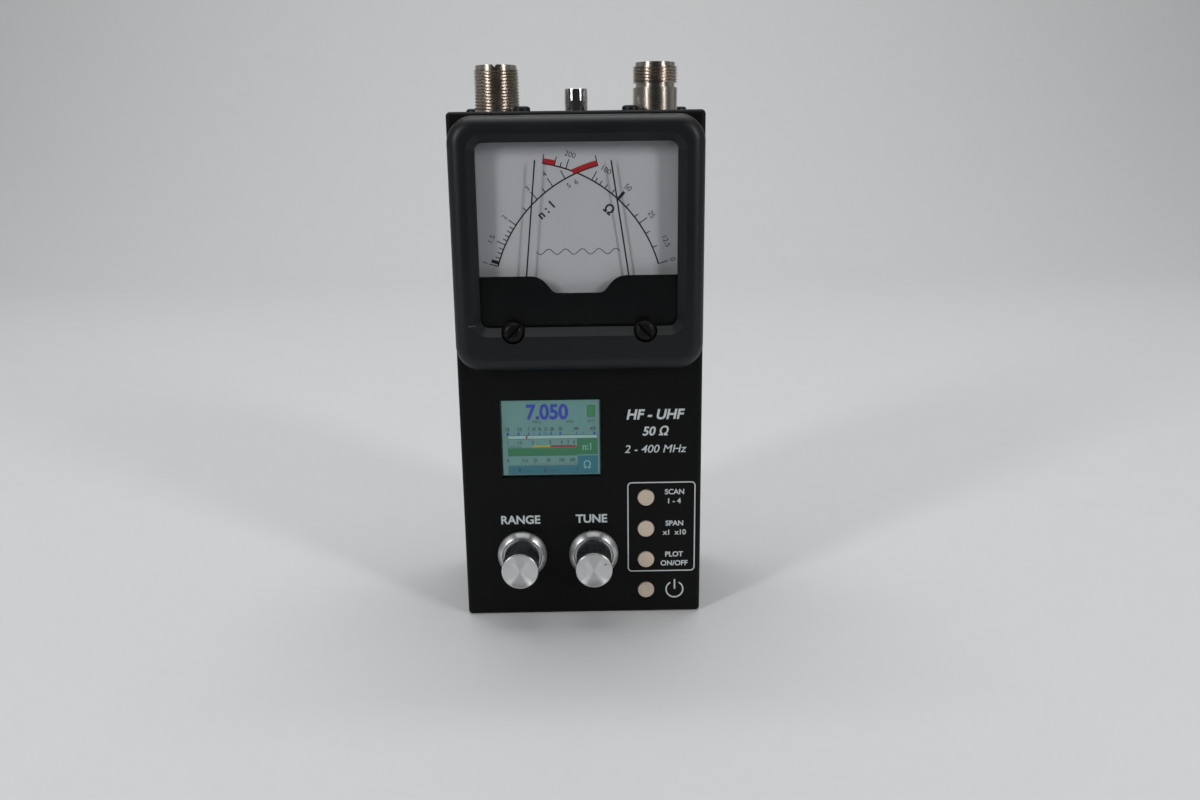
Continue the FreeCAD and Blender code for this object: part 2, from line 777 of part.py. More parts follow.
def make_mask():
    """Gloss black shield with a shallow notch in the middle of its upper edge."""
    body = new_body("meter_mask")
    side = f"({METER_HALF} - seat_gap)"
    low = f"({METER_BOTTOM} + seat_gap)"
    high = f"({WINDOW_BOTTOM} + mask_side_height)"
    middle = f"({WINDOW_BOTTOM} + mask_middle_height)"
    sheet_pad = pad(body, [[(mirrored(side), low), (side, low), (side, high), ("mask_notch_top", high),
                            ("mask_notch_bottom", middle), ("(-mask_notch_bottom)", middle),
                            ("(-mask_notch_top)", high), (mirrored(side), high)]], MASK_BACK, PANE_BACK)

    def notch_edge(place, level):
        def test(edge):
            spot = edge.Vertexes[0].Point
            return (along_z(edge) and abs(abs(spot.x) - number(place)) < 1e-5
                    and abs(spot.y - number(level)) < 1e-5)
        return test

    upper = fillet(body, sheet_pad, notch_edge("mask_notch_top", high), "mask_upper_round")
    fillet(body, upper, notch_edge("mask_notch_bottom", middle), "mask_lower_round")
    pocket(body, [(side_of(sign, ZERO_SIDE), ZERO_HEIGHT, "(zero_shaft_radius + 2 * zero_head_gap)")
                  for sign in SIDES], MASK_BACK, PANE_BACK)
    stand(body, "meter_mask")


def make_dial():
    body = new_body("meter_dial")
    side = f"({METER_HALF} - seat_gap)"
    low = f"({PIVOT_HEIGHT} - dial_drop)"
    high = f"({METER_TOP} - seat_gap)"
    pad(body, [box_outline(mirrored(side), side, low, high)], DIAL_BACK, DIAL_FACE)
    pocket(body, [(side_of(sign, PIVOT_SIDE), PIVOT_HEIGHT, "dial_hole_radius") for sign in SIDES],
           DIAL_BACK, DIAL_FACE)
    stand(body, "meter_dial")


def make_meter_case():
    body = new_body("meter_case")
    outer = f"({METER_HALF} + meter_wall)"
    low = f"({METER_BOTTOM} - meter_wall)"
    high = f"({METER_TOP} + meter_wall)"
    pad(body, [box_outline(mirrored(outer), outer, low, high)], METER_BACK, FACE)
    flange = f"({PANE_HALF} - seat_gap)"
    pad(body, [box_outline(mirrored(flange), flange,
                           f"({PANE_BOTTOM} + seat_gap)", f"({PANE_TOP} - seat_gap)")], FACE, PANE_BACK)
    pad(body, [box_outline(mirrored(outer), outer, low, DEEP_TOP)], DEEP_BACK, METER_BACK)
    pocket(body, [box_outline(mirrored(METER_HALF), METER_HALF, METER_BOTTOM, METER_TOP)],
           METER_FLOOR, PANE_BACK)
    deep_roof = f"({DEEP_TOP} - meter_wall)"
    pocket(body, [box_outline(mirrored(METER_HALF), METER_HALF, METER_BOTTOM, deep_roof)],
           DEEP_FLOOR, METER_FLOOR)
    pillar_side = f"({METER_HALF} - pillar_radius + seat_gap)"
    pillar_low = f"({DEEP_TOP} + pillar_radius)"
    pillar_high = f"({METER_TOP} - pillar_radius + seat_gap)"
    pad(body, [(u, v, "pillar_radius") for u, v in four(pillar_side, pillar_low, pillar_high)],
        METER_FLOOR, DIAL_BACK)
    pocket(body, [(u, v, "terminal_radius") for u, v in TERMINALS], DEEP_BACK, DEEP_FLOOR)
    stand(body, "meter_case")


# Two threaded studs behind each movement carry its leads
TERMINALS = [(side_of(sign, f"({PIVOT_SIDE} + {shift} * terminal_nut_radius)"),
              f"({METER_BOTTOM} + terminal_nut_radius + seat_gap)")
             for sign in SIDES for shift in ("1.5", "(-1.5)")]


def make_meter_nuts():
    back = f"({INSIDE} - terminal_nut_height)"
    nuts = [turned_about(cut(hexagon("0", "0", back, INSIDE, "(2 * stud_radius)"),
                             rod("0", "0", back, INSIDE, "stud_radius")), FLATS_ASIDE, u, v)
            for u, v in STUDS]
    stand(group(*nuts), "meter_nuts")


def make_terminals():
    posts = [fuse(rod(u, v, f"({DEEP_FLOOR} - terminal_reach)", DEEP_FLOOR, "terminal_radius"),
                  hexagon(u, v, f"({DEEP_BACK} - terminal_nut_height)", DEEP_BACK, "terminal_nut_radius"))
             for u, v in TERMINALS]
    stand(group(*posts), "meter_terminals")


# Movements: levels from the back of the housing forward

PLATE_FRONT = f"({DEEP_FLOOR} + plate_thickness)"
TAB_LOW = f"({PLATE_FRONT} + tab_foot)"
CORE_BACK = f"({TAB_LOW} + tab_thickness)"
CORE_FRONT = f"({CORE_BACK} + core_length)"
COIL_INNER_BACK = f"({CORE_BACK} - coil_end_gap)"
COIL_BACK = f"({COIL_INNER_BACK} - coil_end_build)"
COIL_INNER_FRONT = f"({CORE_FRONT} + coil_end_gap)"
COIL_FRONT = f"({COIL_INNER_FRONT} + coil_end_build)"
ARM_BACK = f"({COIL_FRONT} + 2 * spring_level_gap)"
ARM_FRONT = f"({ARM_BACK} + needle_thickness)"
SPRING_BACK = f"({ARM_FRONT} + 2 * spring_level_gap)"
SPRING_FRONT = f"({SPRING_BACK} + spring_height)"
BRIDGE_BACK = f"({SPRING_FRONT} + spring_level_gap)"
BRIDGE_FRONT = f"({BRIDGE_BACK} + bridge_thickness)"
LEVER_BACK = f"({BRIDGE_FRONT} + lever_gap)"
LEVER_FRONT = f"({LEVER_BACK} + lever_thickness)"
JEWEL_FRONT = f"({LEVER_FRONT} + 2 * lever_gap)"
JEWEL_BACK = f"({JEWEL_FRONT} - jewel_length)"
REAR_JEWEL_FRONT = f"({PLATE_FRONT} + tab_foot - coil_end_gap)"
COIL_REACH = "(core_radius + coil_gap + coil_build)"
YOKE_BORE = f"({COIL_REACH} + yoke_gap)"
YOKE_RADIUS = f"({YOKE_BORE} + yoke_thickness)"
POST_PLACE = f"({YOKE_RADIUS} + post_radius)"
BAR_END = f"({POST_PLACE} + post_radius)"


def movement_place(sign):
    return side_of(sign, PIVOT_SIDE), PIVOT_HEIGHT


def lever_spin(sign):
    """How far the line from a pivot to its adjuster leans from straight down, in degrees."""
    across = number(f"{ZERO_SIDE} - {PIVOT_SIDE}")
    down = number(f"{PIVOT_HEIGHT} - {ZERO_HEIGHT}")
    return sign * math.degrees(math.atan2(across, down))


def turned_about(solid, spin, u="0", v="0"):
    """Spin a solid about its own w axis and set that axis at (u, v)."""
    solid.Placement = Placement(Vector(), Rotation(Vector(0, 0, 1), spin))
    return move(solid, u, v)


def movement_frame(sign):
    """Back plate, posts, front bridge and the two tabs that carry the core, in one casting."""
    half = "bridge_width / 2"
    plate = rod("0", "0", DEEP_FLOOR, PLATE_FRONT, YOKE_RADIUS)
    foot = tube("0", "0", PLATE_FRONT, CORE_BACK, YOKE_RADIUS, YOKE_BORE)
    rear_bar = block(mirrored(half), half, mirrored(BAR_END), BAR_END, DEEP_FLOOR, PLATE_FRONT)
    bridge = block(mirrored(half), half, mirrored(BAR_END), BAR_END, BRIDGE_BACK, BRIDGE_FRONT)
    posts = [rod("0", side_of(end, POST_PLACE), DEEP_FLOOR, BRIDGE_FRONT, "post_radius") for end in SIDES]
    tab_half = "tab_width / 2"
    tabs = [block(mirrored(tab_half), tab_half, *sorted_run(end, "tab_reach", f"({YOKE_BORE} + lever_gap)"),
                  TAB_LOW, CORE_BACK) for end in SIDES]
    holes = [rod("0", "0", DEEP_FLOOR, PLATE_FRONT, "jewel_radius"),
             rod("0", "0", BRIDGE_BACK, BRIDGE_FRONT, "jewel_radius")]
    casting = cut(fuse(plate, foot, rear_bar, bridge, *posts, *tabs), *holes)
    return turned_about(casting, sign * number("bridge_angle"), *movement_place(sign))


def sorted_run(sign, near, far):
    return (near, far) if sign > 0 else (mirrored(far), mirrored(near))


def make_movements():
    stand(group(*[movement_frame(sign) for sign in SIDES]), "movement_frames")
    yokes = []
    cores = []
    jewels = []
    for sign in SIDES:
        u, v = movement_place(sign)
        yokes.append(tube(u, v, CORE_BACK, CORE_FRONT, YOKE_RADIUS, YOKE_BORE))
        cores.append(rod(u, v, CORE_BACK, CORE_FRONT, "core_radius"))
        socket = "(staff_radius + jewel_fit)"
        jewels.append(cut(rod(u, v, JEWEL_BACK, JEWEL_FRONT, "jewel_radius"),
                          rod(u, v, JEWEL_BACK, f"({JEWEL_BACK} + staff_engagement + lever_gap)", socket)))
        jewels.append(cut(rod(u, v, DEEP_FLOOR, REAR_JEWEL_FRONT, "jewel_radius"),
                          rod(u, v, f"({REAR_JEWEL_FRONT} - staff_engagement - lever_gap)",
                              REAR_JEWEL_FRONT, socket)))
    stand(group(*yokes), "movement_yokes")
    stand(group(*cores), "core_magnets")
    stand(group(*jewels), "pivot_jewels")


def make_coil(name, sign, rest):
    """Rectangular moving coil on its former, with a half staff at each end."""
    half = "coil_width / 2"
    inner = "(core_radius + coil_gap)"
    outer = block(mirrored(half), half, mirrored(COIL_REACH), COIL_REACH, COIL_BACK, COIL_FRONT)
    hollow = block(mirrored(half), half, mirrored(inner), inner, COIL_INNER_BACK, COIL_INNER_FRONT)
    front_staff = rod("0", "0", COIL_INNER_FRONT, f"({JEWEL_BACK} + staff_engagement)", "staff_radius")
    collet = rod("0", "0", SPRING_BACK, SPRING_FRONT, "collet_radius")
    rear_staff = rod("0", "0", f"({REAR_JEWEL_FRONT} - staff_engagement)", COIL_INNER_BACK, "staff_radius")
    coil = fuse(cut(outer, hollow), front_staff, collet, rear_staff)
    stand(coil, name, *movement_place(sign), spin=sign * number(rest))


def make_needle(name, sign, rest, front):
    """Needle with its hub, tail weight and the step that brings it over the dial."""
    half = "needle_width / 2"
    arm = "needle_arm_width / 2"
    back = f"({front} - needle_thickness)"
    inner = "(needle_step_radius - needle_thickness / 2)"
    outer = "(needle_step_radius + needle_thickness / 2)"
    hub_low = f"({ARM_BACK} - spring_level_gap)"
    hub_high = f"({ARM_FRONT} + spring_level_gap)"
    pieces = [
        rod("0", "0", hub_low, hub_high, "spring_inner"),
        block(mirrored(arm), arm, "(-needle_tail)", outer, ARM_BACK, ARM_FRONT),
        block(mirrored(half), half, inner, outer, ARM_BACK, front),
        block(mirrored(half), half, inner, NEEDLE_TIP, back, front),
        rod("0", "(-needle_tail)", hub_low, hub_high, "weight_radius"),
    ]
    needle = cut(fuse(*pieces), rod("0", "0", hub_low, hub_high, "staff_radius"))
    stand(needle, name, *movement_place(sign), spin=sign * number(rest))


def make_zero_lever(name, sign):
    """Forked lever round the front jewel, with the stud that holds the hairspring."""
    half = "lever_width / 2"
    slot = "(zero_pin_radius + fork_gap)"
    ring = "(jewel_radius + lever_ring)"
    arm = block(mirrored(half), half, "(-lever_end)", "0", LEVER_BACK, LEVER_FRONT)
    fork = block(mirrored(slot), slot, "(-lever_end)", "(-fork_start)", LEVER_BACK, LEVER_FRONT)
    hub = rod("0", "0", LEVER_BACK, LEVER_FRONT, ring)
    bore = rod("0", "0", LEVER_BACK, LEVER_FRONT, "(jewel_radius + jewel_fit)")
    stud = rod("0", "(-spring_stud_place)", SPRING_BACK, LEVER_FRONT, "spring_stud_radius")
    lever = cut(fuse(arm, hub, stud), fork, bore)
    stand(lever, name, *movement_place(sign), spin=lever_spin(sign))


def make_hairspring(name, sign):
    """Flat spiral of half turns whose centres step from side to side, ending at the lever's stud."""
    wire = number("spring_wire")
    step = number("spring_pitch") / 2
    first = number("spring_inner") + wire / 2
    halves = int(2 * number("spring_turns"))
    inner_arcs = []
    outer_arcs = []
    for i in range(halves):
        centre = Vector(0, step * (i % 2), number(SPRING_BACK))
        turn = math.pi * (i + 0.5)
        middle = first + i * step
        for radius, arcs in ((middle - wire / 2, inner_arcs), (middle + wire / 2, outer_arcs)):
            spots = [centre + Vector(radius * math.cos(angle), radius * math.sin(angle), 0)
                     for angle in (turn, turn + math.pi / 2, turn + math.pi)]
            arcs.append(Part.Arc(*spots).toShape())
    start = Part.LineSegment(inner_arcs[0].firstVertex().Point, outer_arcs[0].firstVertex().Point)
    end = Part.LineSegment(inner_arcs[-1].lastVertex().Point, outer_arcs[-1].lastVertex().Point)
    edges = inner_arcs + [end.toShape()] + outer_arcs[::-1] + [start.toShape()]
    spiral = Part.Face(Part.Wire(Part.__sortEdges__(edges))).extrude(Vector(0, 0, number("spring_height")))
    spring = doc.addObject("Part::Feature", name)
    spring.Shape = spiral
    stand(spring, name, *movement_place(sign), spin=lever_spin(sign) + 180)


def make_zero_screw(name, sign):
    """Slotted black adjuster whose small pin, off its axis, turns the zero lever."""
    body = new_body(name)
    head_back = f"({PANE_FACE} + zero_head_gap)"
    head_front = f"({BEZEL_FACE} + zero_head_proud)"
    shaft_back = f"({MASK_BACK} - seat_gap)"
    head = revolve(body, [("0", shaft_back), ("zero_shaft_radius", shaft_back),
                          ("zero_shaft_radius", head_back), ("zero_head_radius", head_back),
                          ("zero_head_radius", head_front), ("0", head_front)])
    fillet(body, head, at_level(head_front), "zero_head_round")
    half = "zero_slot_width / 2"
    pocket(body, [box_outline("(-zero_head_radius)", "zero_head_radius", mirrored(half), half)],
           f"({head_front} - zero_slot_depth)", head_front)
    spin = sign * -45.0
    lean = math.radians(lever_spin(sign) - spin)
    pin_u = f"({-math.sin(lean):.9f} * zero_pin_offset)"
    pin_v = f"({math.cos(lean):.9f} * zero_pin_offset)"
    pad(body, [(pin_u, pin_v, "zero_pin_radius")], f"({LEVER_BACK} - lever_thickness)", shaft_back)
    stand(body, name, side_of(sign, ZERO_SIDE), ZERO_HEIGHT, spin=spin)


# Display

def make_display():
    cover = block(HOLDER_LEFT, HOLDER_RIGHT, HOLDER_BOTTOM, HOLDER_TOP, COVER_BACK, INSIDE)
    stand(cover, "lcd_window")
    wall = "holder_wall"
    panel_back = f"({HOLDER_BACK} + holder_floor)"
    hollow = (f"({HOLDER_LEFT} + {wall})", f"({HOLDER_RIGHT} - {wall})",
              f"({HOLDER_BOTTOM} + {wall})", f"({HOLDER_TOP} - {wall})")
    tray = block(HOLDER_LEFT, HOLDER_RIGHT, HOLDER_BOTTOM, HOLDER_TOP, HOLDER_BACK, COVER_BACK)
    legs = [rod(u, v, BOARD_FACE, HOLDER_BACK, "leg_radius")
            for u in (f"({HOLDER_LEFT} + leg_radius)", f"({HOLDER_RIGHT} - leg_radius)")
            for v in (f"({HOLDER_BOTTOM} + leg_radius)", f"({HOLDER_TOP} - leg_radius)")]
    stand(cut(fuse(tray, *legs), block(*hollow, panel_back, COVER_BACK)), "lcd_holder")
    stand(block(*hollow, panel_back, f"({COVER_BACK} - picture_gap)"), "lcd_panel")


# Knobs and controls

def make_knob(name, place):
    """Turned knob with a coned skirt, a fluted side and a flat face."""
    body = new_body(name)
    side = "(knob_radius - knob_waist)"
    neck = "(skirt_height - skirt_groove_depth)"
    band = "(knob_length - knob_band)"
    shoulder = "(knob_length - knob_chamfer)"
    face_edge = "(knob_radius - knob_chamfer)"
    revolve(body, [("0", "0"), ("skirt_radius", "0"), ("skirt_radius", "skirt_rim"),
                   ("skirt_cone_radius", "skirt_height"), ("skirt_groove_radius", "skirt_height"),
                   ("skirt_groove_radius", neck), (side, neck), (side, band), ("knob_radius", band),
                   ("knob_radius", shoulder), (face_edge, "knob_length"), ("0", "knob_length")])
    half = "flute_width / 2"
    rim = f"({side} + flute_depth)"
    flute = pocket(body, [[(mirrored(half), rim), ("0", f"({side} - flute_depth)"), (half, rim)]],
                   f"({neck})", band)
    flutes = body.newObject("PartDesign::PolarPattern", "flutes")
    flutes.Originals = [flute]
    flutes.Axis = (origin_item(body, "Z_Axis"), [""])
    flutes.Angle = FULL_TURN
    flutes.Occurrences = int(number("flute_count"))
    body.Tip = flutes
    doc.recompute()
    pocket(body, [("0", "0", "knob_recess_radius")], "0", "knob_recess_depth")
    pocket(body, [("0", "0", "(shaft_radius)")], "0", "shaft_engagement")
    pocket(body, [("0", "set_screw_height", "set_screw_radius")], "0", "knob_radius", "XZ_Plane")
    stand_knob(body, name, place)


def stand_knob(obj, name, place):
    """Keep a piece drawn up from the knob's base, on its own axis."""
    stand(obj, name, place, "knob_height")
    bind(obj, "Placement.Base.y", mirrored(KNOB_BASE))


def make_set_screw(name, place):
    """Headless screw across the knob's side, which bears on the shaft."""
    screw = rod("0", "0", "shaft_radius", "(shaft_radius + set_screw_length)", "set_screw_radius")
    key = hexagon("0", "0", "(shaft_radius + set_screw_length / 2)", "(shaft_radius + set_screw_length)",
                  "set_screw_hex")
    piece = cut(screw, key)
    piece.Placement = Placement(Vector(), Rotation(Vector(1, 0, 0), 90))
    bind(piece, "Placement.Base.z", "set_screw_height")
    stand_knob(group(piece), name, place)


def make_shaft(name, place):
    low = f"({SWITCH_FLOOR} + shaft_bore_gap)"
    stand(rod(place, "knob_height", low, SHAFT_TOP, "shaft_radius"), name)


def control_body(place, casing):
    """Casing of a control with its threaded bush, bored for the shaft."""
    bush = rod(place, "knob_height", BOARD_FACE, BUSH_TOP, "bush_radius")
    bore = rod(place, "knob_height", SWITCH_FLOOR, BUSH_TOP, "(shaft_radius + shaft_bore_gap)")
    return cut(fuse(casing, bush), bore)


def make_controls():
    half = "switch_size / 2"
    band = "(-band_place)"
    casing = block(f"{band} - {half}", f"{band} + {half}", f"knob_height - {half}", f"knob_height + {half}",
                   BOARD_FACE, INSIDE)
    stand(control_body(band, casing), "band_switch")
    freq = "(freq_place)"
    can = rod(freq, "knob_height", BOARD_FACE, INSIDE, "control_radius")
    stand(control_body(freq, can), "freq_control")
    nut_top = f"({FACE} + nut_thickness)"
    nuts = [cut(hexagon(u, "knob_height", FACE, nut_top, "nut_radius"),
                rod(u, "knob_height", FACE, nut_top, "bush_radius")) for u in (band, freq)]
    stand(group(*nuts), "shaft_nuts")


# Buttons

def make_button(index, name):
    """Round cap with the flange that keeps it in, and the stem that works its switch."""
    body = new_body(name)
    flange_back = f"({INSIDE} - button_flange_thickness)"
    stem_back = f"({BOARD_FACE} + tact_height - tact_well_gap / 2)"
    face = f"({FACE} + button_proud)"
    turned = revolve(body, [("0", stem_back), ("button_stem_radius", stem_back),
                            ("button_stem_radius", flange_back), ("button_flange_radius", flange_back),
                            ("button_flange_radius", INSIDE), ("button_radius", INSIDE),
                            ("button_radius", face), ("0", face)])
    fillet(body, turned, at_level(face), "button_round")
    stand(body, name, "button_place", button_height(index))


def make_tact_switches():
    half = "tact_size / 2"
    top = f"({BOARD_FACE} + tact_height)"
    floor = f"({BOARD_FACE} + tact_floor)"
    switches = []
    for index in range(len(BUTTONS)):
        v = button_height(index)
        body = block(f"button_place - {half}", f"button_place + {half}", f"{v} - {half}", f"{v} + {half}",
                     BOARD_FACE, top)
        well = rod("button_place", v, floor, top, "(button_stem_radius + tact_well_gap)")
        switches.append(cut(body, well))
    stand(group(*switches), "tact_switches")


# Boards

def make_boards():
    board = block(mirrored(BOARD_HALF), BOARD_HALF, "board_bottom", BOARD_TOP, BOARD_BACK, BOARD_FACE)
    holes = [rod(u, v, BOARD_BACK, BOARD_FACE, "screw_radius") for u, v in STANDOFFS]
    stand(cut(board, *holes), "main_board")
    posts = [cut(hexagon(u, v, BOARD_FACE, INSIDE, "standoff_radius"),
                 rod(u, v, BOARD_FACE, INSIDE, "screw_radius")) for u, v in STANDOFFS]
    stand(group(*posts), "board_standoffs")
    stand(group(*[pan_screw(u, v, BOARD_BACK, out=-1) for u, v in STANDOFFS]), "board_screws")

    depth = "(rf_board_depth / 2)"
    plate = block(mirrored(BOARD_HALF), BOARD_HALF, mirrored(depth), depth, RF_BOARD_LOW, RF_BOARD_TOP)
    pins = [rod(x, "0", RF_BOARD_LOW, RF_BOARD_TOP, radius) for x, radius in
            ((mirrored(SOCKET_SIDE), "solder_pin_radius"), (SOCKET_SIDE, "solder_pin_radius"),
             ("0", "rca_pin_radius"))]
    keep(move(cut(plate, *pins), "0", "0", CASE_HEIGHT), "rf_board")
    half = "(rf_shield_width / 2)"
    deep = "(rf_shield_depth / 2)"
    wall = "rf_shield_wall"
    low = f"({RF_BOARD_LOW} - rf_shield_height)"
    can = cut(block(mirrored(half), half, mirrored(deep), deep, low, RF_BOARD_LOW),
              block(f"{wall} - {half}", f"{half} - {wall}", f"{wall} - {deep}", f"{deep} - {wall}",
                    f"({low} + {wall})", RF_BOARD_LOW))
    keep(move(can, "0", "0", CASE_HEIGHT), "rf_shield")


# Sockets

def on_top(obj, name, place):
    """Keep a piece drawn up from the case's top, at a place across it."""
    return keep(move(obj, place, "0", CASE_HEIGHT), name)


def cut_thread(body, top, length):
    """Grooves of a fine thread, one below the other from the thread's top."""
    groove_half = "(thread_pitch / 2 - 0.1 * thread_depth)"
    middle = f"({top} - thread_pitch / 2)"
    clear = "(thread_radius + thread_depth / 10)"
    root = "(thread_radius - thread_depth)"
    groove = revolve(body, [(clear, f"({middle} - {groove_half})"), (root, middle),
                            (clear, f"({middle} + {groove_half})")], "Groove")
    thread = body.newObject("PartDesign::LinearPattern", "thread")
    thread.Originals = [groove]
    thread.Direction = (origin_item(body, "Z_Axis"), [""])
    thread.Reversed = True
    thread.Mode = "Spacing"
    bind(thread, "Offset", "thread_pitch")
    thread.Occurrences = int(number(f"{length} / thread_pitch"))
    body.Tip = thread
    doc.recompute()


def add_flange(body, bore):
    """Square flange behind the case's top, with its four threaded holes."""
    half = "(socket_flange / 2)"
    holes = [(u, v, "screw_radius") for u in ("(-flange_screw_place)", "(flange_screw_place)")
             for v in ("(-flange_screw_place)", "(flange_screw_place)")]
    pad(body, [box_outline(mirrored(half), half, mirrored(half), half), ("0", "0", bore)] + holes,
        FLANGE_LOW, "(-sheet_thickness)")


def make_uhf_socket():
    body = new_body("uhf_shell")
    revolve(body, [("uhf_bore_radius", FLANGE_LOW), ("thread_radius", FLANGE_LOW),
                   ("thread_radius", "uhf_thread_top"), ("uhf_lip_radius", "uhf_thread_top"),
                   ("uhf_lip_radius", "uhf_top"), ("uhf_bore_radius", "uhf_top")])
    cut_thread(body, "uhf_thread_top", "uhf_thread_top")
    half = "uhf_notch_width / 2"
    notch = [(mirrored(half), "uhf_top"), ("0", "(uhf_top - uhf_notch_depth)"), (half, "uhf_top")]
    reach = "(thread_radius)"
    pocket(body, [notch], f"(-{reach})", reach, "XZ_Plane")
    pocket(body, [notch], f"(-{reach})", reach, "YZ_Plane")
    add_flange(body, "(thread_radius - thread_depth)")
    on_top(body, "uhf_shell", mirrored(SOCKET_SIDE))

    top = "(uhf_top - uhf_insulator_recess)"
    tail = f"({FLANGE_LOW} - uhf_insulator_tail)"
    insulator = tube("0", "0", tail, top, "uhf_bore_radius", "uhf_contact_radius")
    on_top(insulator, "uhf_insulator", mirrored(SOCKET_SIDE))
    pin = rod("0", "0", PIN_END, tail, "solder_pin_radius")
    contact = cut(fuse(rod("0", "0", tail, top, "uhf_contact_radius"), pin),
                  rod("0", "0", f"({top} - uhf_contact_depth)", top, "uhf_contact_bore"))
    on_top(contact, "uhf_contact", mirrored(SOCKET_SIDE))


def make_coax_socket():
    body = new_body("n_shell")
    revolve(body, [("coax_bore_radius", FLANGE_LOW), ("coax_base_radius", FLANGE_LOW),
                   ("coax_base_radius", "coax_base_top"), ("coax_neck_radius", "coax_base_top"),
                   ("coax_neck_radius", "coax_neck_top"), ("thread_radius", "coax_neck_top"),
                   ("thread_radius", "coax_thread_top"), ("coax_lip_radius", "coax_thread_top"),
                   ("coax_lip_radius", "coax_top"), ("coax_bore_radius", "coax_top")])
    cut_thread(body, "coax_thread_top", "(coax_thread_top - coax_neck_top)")
    add_flange(body, "(coax_neck_radius)")
    on_top(body, "n_shell", SOCKET_SIDE)

    tail = f"({FLANGE_LOW} - uhf_insulator_tail)"
    insulator = tube("0", "0", tail, "coax_insulator_top", "coax_bore_radius", "coax_contact_radius")
    on_top(insulator, "n_insulator", SOCKET_SIDE)
    top = "(coax_top - coax_contact_recess)"
    contact = cut(rod("0", "0", PIN_END, top, "coax_contact_radius"),
                  rod("0", "0", f"({top} - coax_contact_depth)", top, "coax_contact_bore"))
    on_top(contact, "n_contact", SOCKET_SIDE)


def make_rca_socket():
    body = new_body("rca_shell")
    waist = "(rca_radius - rca_waist)"
    shell = revolve(body, [("rca_bore_radius", "(-rca_tail)"), (waist, "(-rca_tail)"), (waist, "0"),
                           ("rca_radius", "(rca_top / 2)"), (waist, "rca_top"),
                           ("rca_bore_radius", "rca_top")])
    fillet(body, shell, at_level("rca_top"), "(rca_round / 2)")
    nut = [(f"(rca_nut_radius * cos({60 * i}))", f"(rca_nut_radius * sin({60 * i}))") for i in range(6)]
    pad(body, [nut, ("0", "0", f"({waist} - rca_waist)")],
        "(-sheet_thickness - rca_nut_thickness)", "(-sheet_thickness)")
    on_top(body, "rca_shell", "0")

    top = "(rca_top - rca_insulator_recess)"
    low = "(-rca_tail)"
    insulator = tube("0", "0", low, top, "rca_bore_radius", "rca_contact_radius")
    on_top(insulator, "rca_insulator", "0")
    pin = rod("0", "0", PIN_END, low, "rca_pin_radius")
    contact = cut(fuse(rod("0", "0", low, top, "rca_contact_radius"), pin),
                  rod("0", "0", f"({top} - rca_contact_depth)", top, "rca_contact_bore"))
    on_top(contact, "rca_contact", "0")


# Power

def make_batteries():
    """Six round cells, three across and two deep, in a box that is open to the rear cover."""
    step = "(2 * (cell_radius + cell_gap))"
    wall = "holder_box_wall"
    half = f"(1.5 * {step})"
    deep = f"({REAR_INSIDE} + 2 * {step})"
    floor = f"(sheet_thickness + {wall})"
    roof = f"({floor} + cell_length + cell_nub_height + cell_end_gap)"
    box = cut(block(f"(-{half} - {wall})", f"({half} + {wall})", "sheet_thickness", f"({roof} + {wall})",
                    REAR_INSIDE, f"({deep} + {wall})"),
              block(f"(-{half})", half, floor, roof, REAR_INSIDE, deep))
    stand(box, "battery_holder")
    cells = []
    for column in (-1, 0, 1):
        for layer in (0.5, 1.5):
            u = f"({column} * {step})"
            w = f"({REAR_INSIDE} + {layer} * {step})"
            can = rod("0", "0", "0", "cell_length", "cell_radius")
            nub = rod("0", "0", "cell_length", "(cell_length + cell_nub_height)", "cell_nub_radius")
            cell = fuse(can, nub)
            cells.append(move(cell, u, mirrored(w), floor))
    keep(group(*cells), "batteries")


def make_dc_jack():
    """Power inlet on the board's back, whose bore faces a hole in the side wall."""
    outer = HALF_INSIDE
    w = f"({BOARD_BACK} - jack_depth / 2)"
    half = "jack_width / 2"
    body = block(f"{outer} - jack_length", outer, f"jack_height - {half}", f"jack_height + {half}",
                 f"({BOARD_BACK} - jack_depth)", BOARD_BACK)
    inner = f"({outer} - jack_bore_depth)"
    bore = rod(inner, "jack_height", w, f"({w} + jack_bore_depth)", "jack_bore_radius")
    pin = rod(inner, "jack_height", w, f"({w} + jack_bore_depth - 2 * seat_gap)", "jack_pin_radius")
    for piece in (bore, pin):
        piece.Placement = Placement(piece.Placement.Base, Rotation(Vector(0, 1, 0), 90))
        move(piece, inner, "jack_height", w)
    stand(fuse(cut(body, bore), pin), "dc_jack")


def make_all():
    make_front_case()
    make_rear_cover()
    stand(group(*[pan_screw(u, v, REAR, out=-1) for u, v in LUGS]), "cover_screws")
    make_bezel()
    make_window()
    make_mask()
    make_dial()
    make_meter_case()
    make_meter_nuts()
    make_terminals()
    make_movements()
    for name, sign, rest, front in (("ohms", -1, "ohms_rest_angle", OHMS_FRONT),
                                    ("swr", 1, "swr_rest_angle", SWR_FRONT)):
        make_coil(name + "_coil", sign, rest)
        make_needle(name + "_needle", sign, rest, front)
        make_zero_lever(name + "_zero_lever", sign)
        make_hairspring(name + "_hairspring", sign)
        make_zero_screw(name + "_zero_screw", sign)
    make_display()
    for name, place in (("band", "(-band_place)"), ("freq", "(freq_place)")):
        make_knob(name + "_knob", place)
        make_set_screw(name + "_set_screw", place)
        make_shaft(name + "_shaft", place)
    make_controls()
    for index, name in enumerate(BUTTONS):
        make_button(index, name)
    make_tact_switches()
    make_boards()
    make_uhf_socket()
    make_coax_socket()
    make_rca_socket()
    keep(move(group(*[pan_screw(x, y, "0") for x, y in FLANGE_SCREWS]), "0", "0", CASE_HEIGHT),
         "connector_screws")
    make_batteries()
    make_dc_jack()


